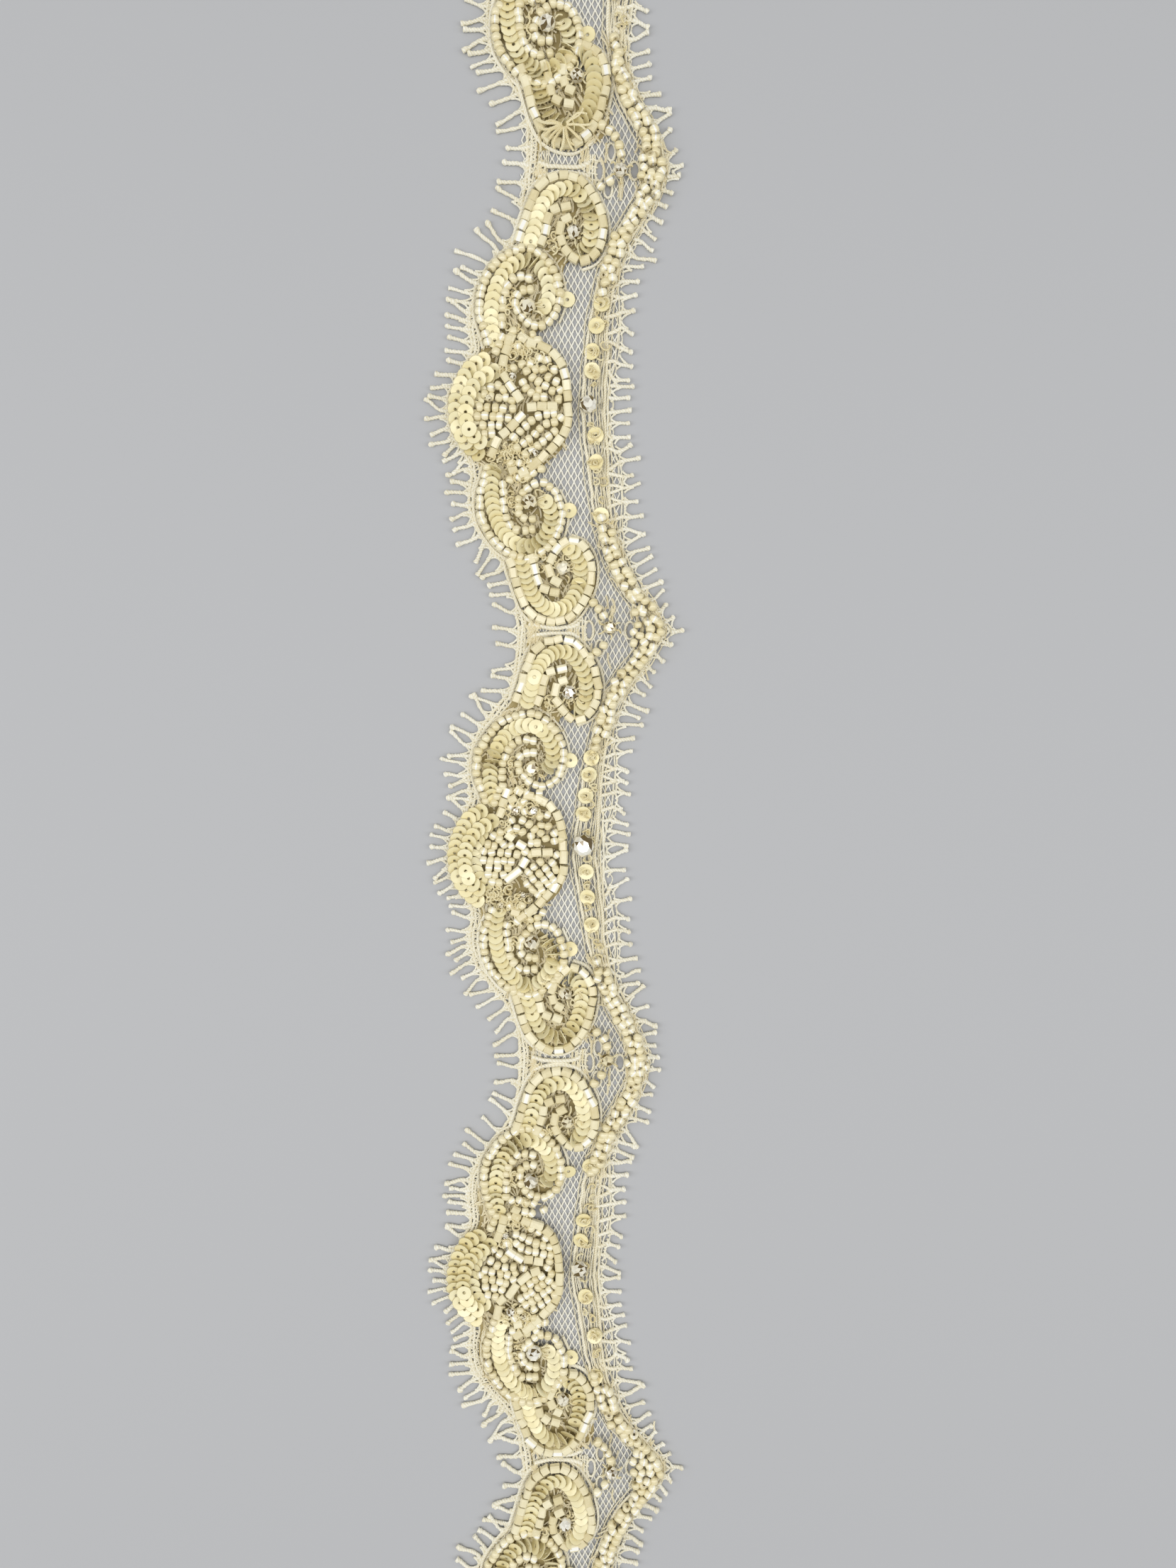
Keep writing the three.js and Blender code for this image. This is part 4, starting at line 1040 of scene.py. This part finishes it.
def eyelet_rings():
    """Middle, half width and half height of every eyelet, on the trim."""
    rows = []
    for half, (_, way, *_) in HALVES.items():
        for x, v, wide, tall in EYELETS:
            # an eyelet on the neck's line is met by both half repeats, and counts once
            if v < HALF_V or way < 0:
                rows.append((*place(half, x, v), wide / 2, tall / 2))
    return np.array(rows)


RINGS = eyelet_rings()


def clear_of_rings(x, y, margin=0.0):
    """Whether points lie outside every eyelet grown by a margin, by ((x - cx) / a)^2 + ((y - cy) / b)^2 >
    1."""
    aside = (x[..., None] - RINGS[:, 0]) / (RINGS[:, 2] + margin)
    above = (y[..., None] - RINGS[:, 1]) / (RINGS[:, 3] + margin)
    return (aside**2 + above**2 > 1).all(-1)


# half the width and height of a diamond
HALF_W, HALF_H = 0.33, 1.16
# two steps to each half opening, so that a point falls on every turn of a thread
first, last = math.ceil((LOW_Y + 0.4) * 2 / HALF_H), math.floor((HIGH_Y - 0.4) * 2 / HALF_H)
rows = HALF_H / 2 * np.arange(first, last + 1)
left_by_y = np.interp(station(rows), NET_LEFT_V, NET_LEFT_X)
right_by_y = read_down(RIGHT_EDGE, rows) - 0.5
sway = 1.2 * np.sin(rows / 41.0)
for k, x0 in enumerate(np.arange(-18, 22, 2 * HALF_W)):
    phase = np.pi * (rows / HALF_H + k)
    x = x0 + sway + HALF_W * 0.8 * np.sin(phase) + 0.06 * smooth_noise(len(rows), 7)
    shown = (x > left_by_y) & (x < right_by_y) & clear_of_rings(x, rows)
    breaks = np.flatnonzero(np.diff(shown.astype(int)))
    ends = np.concatenate([[-1], breaks, [len(rows) - 1]])
    for i, j in zip(ends[:-1] + 1, ends[1:] + 1):
        if shown[i] and j - i > 4:
            z = NET_Z + 0.07 * np.cos(phase[i:j])
            tubes(net, np.stack([x[i:j], rows[i:j], z], -1)[None], 0.165, 4)
turn = np.linspace(0, 2 * np.pi, 25)
for x, y, wide, tall in RINGS:
    ring = np.stack([x + (wide + 0.25) * np.cos(turn), y + (tall + 0.25) * np.sin(turn)], -1)
    cord(cords, ring, 0.26, CORD_Z, step=0.3)

# ---- backing cloth under the scrolls and shells
# x of the cloth's right side, by v
CLOTH_V = (0, 5, 8, 11, 14, 17, 20, 24, 28, 31, 35, 39, 42, 45)
CLOTH_X = (-4.8, -4.9, -6.2, -9.6, -11.8, -8.6, -6.4, -6.0, -5.4, 0.4, 1.6, 0.4, -5.6, -11.4)


def at_height(v, x, y):
    """x at each height y of the line that keeps to x at each v of the half repeats."""
    return read_down(spline(down_the_length(v, x), 0.5), y)


cloth = Heap()
# where a short neck scroll leaves its neck bare: from below it to the neck's middle
BARE_FROM = {"a_low": 40.6, "c_low": 41.6, "d_low": 41.2}
BARE = [(place(half, 0, v)[1], place(half, 0, 44.6)[1]) for half, v in BARE_FROM.items()]


def bare(y):
    """Whether each height lies where a neck is bare."""
    return np.any([(y < high) & (y > low) for high, low in BARE], 0)


def lay_cloth():
    """A thin closed sheet on a grid: across from the left edge cord to the right side of the motifs, down
    the length, its upper face a smooth noise above its lower one. Gives its flat area in square
    metres."""
    y = np.arange(LOW_Y + 0.5, HIGH_Y - 0.5, 1.2)
    left, right = at_height(LEFT_V, LEFT_X, y) + 2.0, at_height(CLOTH_V, CLOTH_X, y)
    right = np.where(bare(y), left + 0.15, right)
    u = np.linspace(0, 1, 16)
    x = left[:, None] + (right - left)[:, None] * u
    top = 0.62 + 0.05 * np.sin(x * 1.7 + np.sin(y)[:, None]) * np.sin(y * 1.3)[:, None]
    ring_x = np.concatenate([x, x[:, ::-1]], 1)
    ring_z = np.concatenate([top, top[:, ::-1] - 0.12], 1)
    co = np.stack([ring_x, np.broadcast_to(y[:, None], ring_x.shape), ring_z], -1)
    sides = ring_x.shape[1]
    last = (len(y) - 1) * sides
    caps = np.stack([np.arange(sides), last + np.arange(sides)[::-1]])
    flat_co, faces = face_out(co.reshape(-1, 3), [ring_faces(len(y), sides, False), caps])
    cloth.add(flat_co, faces, 0.5, [flat_co[f][..., :2] for f in faces])
    return float(((right - left)[:-1] * np.diff(y)).sum()) * 1e-6


cloth_area = lay_cloth()


def ground_stitches(y, low_x, high_x, lean, z=0.78, splay=0.55):
    """Short thick-and-thin stitches over the ground: each starts at a random point between low_x and
    high_x, points along its lean give or take, and rises and falls again as a half sine. None crosses an
    eyelet."""
    n = len(y)
    x = low_x + (high_x - low_x) * rng.random(n)
    a = lean + stray(splay, n)
    long = 1.4 + 2.2 * rng.random(n)
    t = np.linspace(-0.5, 0.5, 5)
    curve = stray(0.25, (n, 1)) * (t**2)[None]
    px = x[:, None] + long[:, None] * (np.cos(a)[:, None] * t - np.sin(a)[:, None] * curve)
    py = y[:, None] + long[:, None] * (np.sin(a)[:, None] * t + np.cos(a)[:, None] * curve)
    high = z + 0.28 * rng.random((n, 1)) + 0.2 * np.cos(np.pi * t)[None]
    free = clear_of_rings(px, py, 0.25).all(1)
    tubes(stitches, np.stack([px, py, high], -1)[free], (0.15 + 0.08 * rng.random((n, 1)))[free], 4)


stitches = Heap()


def along_the_trim(count):
    """Random heights between the two ends."""
    return LOW_Y + 1.5 + (HIGH_Y - LOW_Y - 3) * rng.random(count)


some_y = along_the_trim(4000)
some_y = some_y[~bare(some_y)]
way_x, way_y = (read_down(LEFT_EDGE, some_y, way) for way in heading(LEFT_EDGE).T)
low_x, high_x = at_height(LEFT_V, LEFT_X, some_y) + 2.4, at_height(CLOTH_V, CLOTH_X, some_y) - 0.3
ground_stitches(some_y, low_x, high_x, np.arctan2(way_y, way_x))
arm_y = along_the_trim(900)
arm_y = arm_y[station(arm_y) > 21]
arm_x = read_down(BAND_LINE, arm_y)
arm_lean = read_down(BAND_LINE, arm_y, np.unwrap(np.arctan2(*heading(BAND_LINE).T[::-1])))
ground_stitches(arm_y, arm_x - 2.2, arm_x + 2.2, arm_lean, z=0.85, splay=0.4)

# upright stitches at each neck: how far they spread in height, how many, from x, to x, and how far they
# splay
NECK_STITCHES = [(3.4, 40, -4, 6, 0.16), (3.8, 45, 8.5, 14, 0.2)]
# the pair of cords across a neck, from its middle: x, and y in shares of how far each cord stands from it
BAR_X, BAR_SHARES, BAR_DROP = (-11.8, -9.5, -6.5, -3.4, -1.6), (2.2, 1.2, 1.0, 1.1, 2.4), 0.62
# the pair lies higher than the middle of its neck here
BAR_HIGHER = {"de": 2.7}
# the ladder beside them: x of its uprights, half its height, and the heights of its ties
LADDER_X, LADDER_HALF, TIE_HEIGHTS = np.linspace(-2.5, -0.4, 5), 2.9, (-1.9, -0.7, 0.6, 1.9)
for name, (above, below) in NECKS.items():
    middle = place(above, 0, HALF_V)
    for spread, count, low_x, high_x, splay in NECK_STITCHES:
        near = middle[1] + stray(spread, count)
        sides = [at_height([0, HALF_V], [x, x], near) for x in (low_x, high_x)]
        ground_stitches(near, *sides, np.pi / 2, z=0.5, splay=splay)
    for drop in (-BAR_DROP, BAR_DROP):
        bar = np.stack([BAR_X, np.array(BAR_SHARES) * drop], -1) + (middle + (0, BAR_HIGHER.get(name, 0.0)))
        cord(cords, spline(bar, 0.4), 0.46, CORD_Z + 0.3, sides=7, step=0.3, turn=1.1, wander=0.1)
    uprights = np.stack([[(x, -LADDER_HALF), (x - 0.12, 0.0), (x, LADDER_HALF)] for x in LADDER_X])
    tubes(cords, at_z(uprights + middle + stray(0.1, (5, 3, 2)), CORD_Z + 0.1), 0.19, 5)
    for high in TIE_HEIGHTS:
        tie = spline(np.array([[-2.6, high], [-1.3, high + 0.2], [0.0, high - 0.1]]) + middle, 0.5)
        cord(cords, tie, 0.16, CORD_Z + 0.2, sides=5, turn=0)
# couched cords round the outer rims of the scrolls
# how many points of a scroll's outer row its rim follows
RIM_POINTS = 12
for half in SIDE_SCROLLS:
    rim = spline(side_points(half, SIDE_EDGE[:RIM_POINTS]), 0.5)
    cord(cords, offset(rim, 1.28 * HALVES[half][1]), 0.3, CORD_Z + 0.2, turn=1.2, wander=0.1)
for half in NECK_SCROLLS:
    rim = spline(neck_points(half, NECK_EDGE[:RIM_POINTS]), 0.5)
    cord(cords, offset(rim, 1.36 * HALVES[half][1]), 0.36, CORD_Z + 0.24, turn=1.2, wander=0.08)

# ---- finishes
def srgb(code):
    """Six hexadecimal digits as a linear colour: each share c becomes ((c + 0.055) / 1.055) ** 2.4."""
    c = np.array([int(code[i:i + 2], 16) for i in (0, 2, 4)]) / 255
    return (*np.where(c > 0.04045, ((c + 0.055) / 1.055) ** 2.4, c / 12.92), 1.0)


def add_node(tree, kind, inputs=None, **settings):
    """A node with its settings. Each socket, by name or number, takes a value or a link from another
    socket."""
    node = tree.nodes.new(kind)
    for key, value in settings.items():
        setattr(node, key, value)
    for key, value in (inputs or {}).items():
        if isinstance(value, bpy.types.NodeSocket):
            tree.links.new(value, node.inputs[key])
        else:
            node.inputs[key].default_value = value
    return node


def maths(tree, operation, *values, **settings):
    """The result of an operation on sockets and numbers, given in its own order."""
    inputs = dict(enumerate(values))
    return add_node(tree, "ShaderNodeMath", inputs, operation=operation, **settings).outputs[0]


def sum_of(tree, *terms):
    """Adds up products: each term is a socket and a number, and they are chained as multiply-adds."""
    total = 0.0
    for socket, factor in terms:
        total = maths(tree, "MULTIPLY_ADD", socket, factor, total)
    return total


def blend(tree, share, low, high):
    """A colour between two, by a share that is held between 0 and 1."""
    return add_node(tree, "ShaderNodeMix", {"Factor": share, 6: low, 7: high}, data_type="RGBA",
                    clamp_factor=True).outputs[2]


def stored(tree, name):
    """A number that is stored at each vertex."""
    return add_node(tree, "ShaderNodeAttribute", attribute_name=name).outputs["Fac"]


def surface(tree):
    """The two surface coordinates."""
    uv = add_node(tree, "ShaderNodeUVMap", uv_map="surface")
    split = add_node(tree, "ShaderNodeSeparateXYZ", {0: uv.outputs[0]})
    return split.outputs[0], split.outputs[1]


def bumped(tree, height, strength, distance_m):
    """A normal tipped as a height field of this depth in metres would tip it."""
    inputs = {"Strength": strength, "Distance": distance_m, "Height": height}
    return add_node(tree, "ShaderNodeBump", inputs).outputs[0]


def new_group(name, inputs, outputs):
    """A shader node group with named sockets: its tree, the sockets given to it, and its output node."""
    tree = bpy.data.node_groups.new(name, "ShaderNodeTree")
    for way, sockets in (("INPUT", inputs), ("OUTPUT", outputs)):
        for label, kind in sockets.items():
            tree.interface.new_socket(label, in_out=way, socket_type=kind)
    return tree, tree.nodes.new("NodeGroupInput").outputs, tree.nodes.new("NodeGroupOutput")


COLOUR, VALUE, VECTOR = "NodeSocketColor", "NodeSocketFloat", "NodeSocketVector"


def spun_thread_group():
    """Colour and normal of a spun thread from its surface coordinates: a sine runs round and along it as
    the twist does, noise stretched along it stands for fibres, and each thread is a little lighter or
    darker."""
    tree, given, out = new_group(
        "spun_thread", {"Light": COLOUR, "Shade": COLOUR, "Turns": VALUE, "Relief": VALUE},
        {"Color": COLOUR, "Normal": VECTOR})
    along, around = surface(tree)
    turns = maths(tree, "MULTIPLY", along, given["Turns"])
    twist = maths(tree, "SINE", sum_of(tree, (turns, 2 * math.pi), (around, -4 * math.pi)))
    stretch = add_node(tree, "ShaderNodeCombineXYZ", {
        0: sum_of(tree, (along, 1.3)), 1: sum_of(tree, (around, 5.0), (along, -2.2))})
    fibres = add_node(tree, "ShaderNodeTexNoise", {
        "Scale": 2.4, "Detail": 3.0, "Roughness": 0.6, "Vector": stretch.outputs[0]}).outputs["Fac"]
    share = sum_of(tree, (twist, 0.22), (fibres, 0.9), (stored(tree, "tone"), 0.35))
    height = sum_of(tree, (twist, 0.5), (fibres, 1.2))
    tree.links.new(blend(tree, share, given["Shade"], given["Light"]), out.inputs["Color"])
    tree.links.new(bumped(tree, height, given["Relief"], 0.00006), out.inputs["Normal"])
    return tree


def bead_finish_group():
    """Colour, roughness and normal of a bead. Its tone sets where its body lies between two colours, and
    past a set tone a stripe along it, a set width to each side, takes a near-white colour: a painted
    highlight, standing for a glint of the lamps. Past End Start from its middle, round the hole or at the
    rim, low down, and by the painted shade stored at each vertex, it goes to a third, darker colour:
    painted shade, standing for the shade at its ends and in the crevices between beads; low down the
    share of the way up is (z - Low) / (High - Low), in metres. Fine noise breaks up the lustre."""
    takes = dict.fromkeys(("Light", "Deep", "Painted Glint", "Painted Shade"), COLOUR)
    measures = ("Painted Glint From", "Painted Glint Wide", "Round", "End Start", "Low", "High", "Smooth")
    takes |= dict.fromkeys(measures, VALUE)
    gives = {"Color": COLOUR, "Roughness": VALUE, "Normal": VECTOR}
    tree, given, out = new_group("bead_finish", takes, gives)
    along, around = surface(tree)
    tone = stored(tree, "tone")
    spot = add_node(tree, "ShaderNodeTexCoord").outputs["Object"]
    fine_noise = {"Scale": 900.0, "Detail": 2.0, "Vector": spot}
    cloud = add_node(tree, "ShaderNodeTexNoise", fine_noise).outputs["Fac"]
    body = blend(tree, sum_of(tree, (tone, 0.75), (cloud, 0.45)), given["Deep"], given["Light"])
    # painted highlight: a near-white stripe along beads past a set tone, standing for a glint
    beyond = maths(tree, "GREATER_THAN", tone, given["Painted Glint From"])
    stripe = maths(tree, "LESS_THAN", maths(tree, "ABSOLUTE", around), given["Painted Glint Wide"])
    glinted = blend(tree, maths(tree, "MULTIPLY", beyond, stripe), body, given["Painted Glint"])
    # painted shade: ends, rims, low parts and the stored shade share go towards the darker third colour
    aside = maths(tree, "MULTIPLY", around, given["Round"])
    squares = maths(tree, "MULTIPLY_ADD", along, along, maths(tree, "MULTIPLY", aside, aside))
    past = maths(tree, "SUBTRACT", maths(tree, "SQRT", squares), given["End Start"])
    near_end = maths(tree, "MULTIPLY", past, 6.0, use_clamp=True)
    height = add_node(tree, "ShaderNodeSeparateXYZ", {0: spot}).outputs[2]
    from_high_to_low = {0: height, 1: given["Low"], 2: given["High"], 3: 1.0, 4: 0.0}
    steps = add_node(tree, "ShaderNodeMapRange", from_high_to_low, interpolation_type="SMOOTHSTEP")
    depth = steps.outputs[0]
    low_down = maths(tree, "MAXIMUM", stored(tree, "ground"), depth)
    colour = blend(tree, maths(tree, "MAXIMUM", near_end, low_down), glinted, given["Painted Shade"])
    tree.links.new(colour, out.inputs["Color"])
    tree.links.new(maths(tree, "MULTIPLY_ADD", cloud, 0.22, given["Smooth"]), out.inputs["Roughness"])
    tree.links.new(bumped(tree, cloud, 0.25, 0.00003), out.inputs["Normal"])
    return tree


SPUN, BEAD = spun_thread_group(), bead_finish_group()


def finish_of(name, group, group_values, shader_values):
    """A material whose group feeds the shader; numbers that are the same all over sit on the shader
    itself."""
    material = bpy.data.materials.new(name)
    material.use_nodes = True
    tree = material.node_tree
    shader = tree.nodes["Principled BSDF"]
    for key, value in shader_values.items():
        shader.inputs[key.replace("_", " ")].default_value = value
    node = add_node(tree, "ShaderNodeGroup", group_values, node_tree=group)
    for result in node.outputs:
        tree.links.new(result, shader.inputs["Base Color" if result.name == "Color" else result.name])
    return material


def cotton(name, light, shade, turns, relief, **shader_values):
    """A spun thread's finish from two colours, its turns to the millimetre and how deep its twist is."""
    values = {"Light": srgb(light), "Shade": srgb(shade), "Turns": turns, "Relief": relief}
    return finish_of(name, SPUN, values, shader_values)


def bead(name, light, deep, ground, smooth, round_rim=0.0, end_start=9.0, painted_glint=(2.0, 9.0),
         low=-2.0, high=-1.0, **shader_values):
    """A bead's finish from three colours, the third that of its painted shade, how smooth it is, where its
    rim or its ends start, its painted glint, which is the tone past which a painted highlight stripe lies
    along it and how far the stripe reaches to each side of its middle, and the heights in millimetres
    between which painted shade darkens it towards its bottom."""
    return finish_of(name, BEAD, {
        "Light": srgb(light), "Deep": srgb(deep), "Painted Glint": srgb("FFFEF6"), "Painted Shade": srgb(ground),
        "Painted Glint From": painted_glint[0], "Painted Glint Wide": painted_glint[1], "Round": round_rim, "End Start": end_start,
        "Low": low * MM, "High": high * MM, "Smooth": smooth}, shader_values)


net_cotton = cotton("net_cotton", "FFFEF6", "F6F0DC", 1.2, 0.5, Roughness=0.85)
cord_cotton = cotton("cord_cotton", "FFFCEC", "E6DAB4", 1.4, 0.8, Roughness=0.8)
picot_cotton = cotton("picot_cotton", "FFFDF0", "E6DCBA", 1.75, 0.9, Roughness=0.8)
stitch_cotton = cotton("stitch_cotton", "FCF5DA", "D6C594", 1.6, 0.6, Roughness=0.7)
gimp_satin = cotton("gimp_satin", "FFFAE6", "DDCE9E", 1.8, 0.8, Roughness=0.5)
purl_wire = cotton("purl_wire", "FFF7D2", "D8C07A", 3.0, 0.9, Roughness=0.35)
backing_cotton = bead("backing_cotton", "BBAA7A", "9A8A58", "8A7A4A", 0.75, end_start=900.0)
# seeds and tubes: the third colour is painted shade at their ends and low down, and the stripe is a painted
# highlight
seed_pearl = bead("seed_pearl", "FDF5D4", "E4D5A2", "866F3A", 0.1, end_start=0.64, painted_glint=(0.5, 0.15),
                  low=0.6, high=1.74, Coat_Weight=0.9, Coat_Roughness=0.03)
tube_satin = bead("tube_satin", "FAF2D0", "DACA96", "86743A", 0.16, end_start=0.93, painted_glint=(0.88, 0.36),
                  low=0.6, high=1.74, Coat_Weight=0.5, Coat_Roughness=0.1)
# sequins: the third colour is painted shade on their rims, hole edges and low sides
sequin_satin = bead("sequin_satin", "FFF7CE", "F6E9B2", "86703C", 0.24, round_rim=1.0, Metallic=0.05,
                    Coat_Weight=0.3, Coat_Roughness=0.15)
foil = bead("foil", "FBF8EA", "E2D8B4", "CFC4A0", 0.1, Metallic=0.95)
# its third colour is painted reflection: the dark facets of a crystal's sparkle
crystal_glass = bead("crystal_glass", "FFFDF2", "F0E0A6", "665220", 0.0, end_start=0.0, Metallic=0.25,
                     Coat_Weight=1.0, Coat_Roughness=0.02)

# ---- the pieces
def named(*starts):
    """Names of the nodes that begin with each start in turn."""
    return [n for start in starts for n in sorted(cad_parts) if n.startswith(start)]


cloth_piece = cloth.piece("backing_cloth", backing_cotton, "lace", smooth=40)
net_piece = net.piece("net_threads", net_cotton, "lace", replaces=["lace_ground"])
cord_piece = cords.piece("lace_cords", cord_cotton, "lace", smooth=60)
left_piece = picots_left.piece("picots_left", picot_cotton, "picot_thread", smooth=60,
                               replaces=["fringe_left"])
right_piece = picots_right.piece("picots_right", picot_cotton, "picot_thread", smooth=60,
                                 replaces=["fringe_right"])
gimps.piece("band_threads", gimp_satin, "gimp_thread", smooth=60, replaces=named("thread_band"))
stitches.piece("ground_stitches", stitch_cotton, "lace", smooth=60)
purl.piece("purl_wires", purl_wire, "gimp_thread", smooth=60)
seeds.piece("seed_beads", seed_pearl, "beadwork", smooth=50,
            replaces=named("shell_heart", "lower_leaf", "peak_rows"))
tube_beads.piece("tube_beads", tube_satin, "beadwork", smooth=20, replaces=named("upper_leaf"))
sequins.piece("cup_sequins", sequin_satin, "beadwork", smooth=38,
              replaces=named("side_scroll", "neck_scroll", "shell_lobe"))
stones.piece("crystals", crystal_glass, "crystal", smooth=0,
             replaces=named("scroll_crystal", "neck_crystal", "band_crystal"))
foils.piece("crystal_foils", foil, "crystal", smooth=0)

# ---- floor and studio light
floor_mesh = bpy.data.meshes.new("floor")
floor_mesh.from_pydata([(-2, -2, 0), (2, -2, 0), (2, 2, 0), (-2, 2, 0)], [], [(0, 1, 2, 3)])
floor = bpy.data.objects.new("floor", floor_mesh)
floor_paint = bpy.data.materials.new("floor_paint")
floor_paint.use_nodes = True
paint = floor_paint.node_tree.nodes["Principled BSDF"].inputs
paint["Base Color"].default_value = srgb("BABBBD")
paint["Roughness"].default_value = 0.9
floor_mesh.materials.append(floor_paint)
scene.collection.objects.link(floor)


def panel(name, x, y, z, wide, tall, power):
    """A soft rectangular lamp aimed at the middle of the trim: its own -z axis points there."""
    lamp = bpy.data.lights.new(name, "AREA")
    lamp.shape = "RECTANGLE"
    lamp.size, lamp.size_y, lamp.energy = wide, tall, power
    holder = bpy.data.objects.new(name, lamp)
    holder.location = (x, y, z)
    holder.rotation_euler = (-holder.location).to_track_quat("-Z", "Y").to_euler()
    scene.collection.objects.link(holder)


panel("panel_left", -0.40, -0.02, 0.60, 0.26, 1.0, 2.2)
panel("panel_right", 0.40, -0.02, 0.60, 0.26, 1.0, 1.7)
world = bpy.data.worlds.new("studio")
scene.world = world
world.use_nodes = True
sky = world.node_tree.nodes["Background"].inputs
sky["Color"].default_value = (1.0, 1.0, 1.0, 1.0)
sky["Strength"].default_value = 0.54
scene.view_settings.view_transform = "Standard"
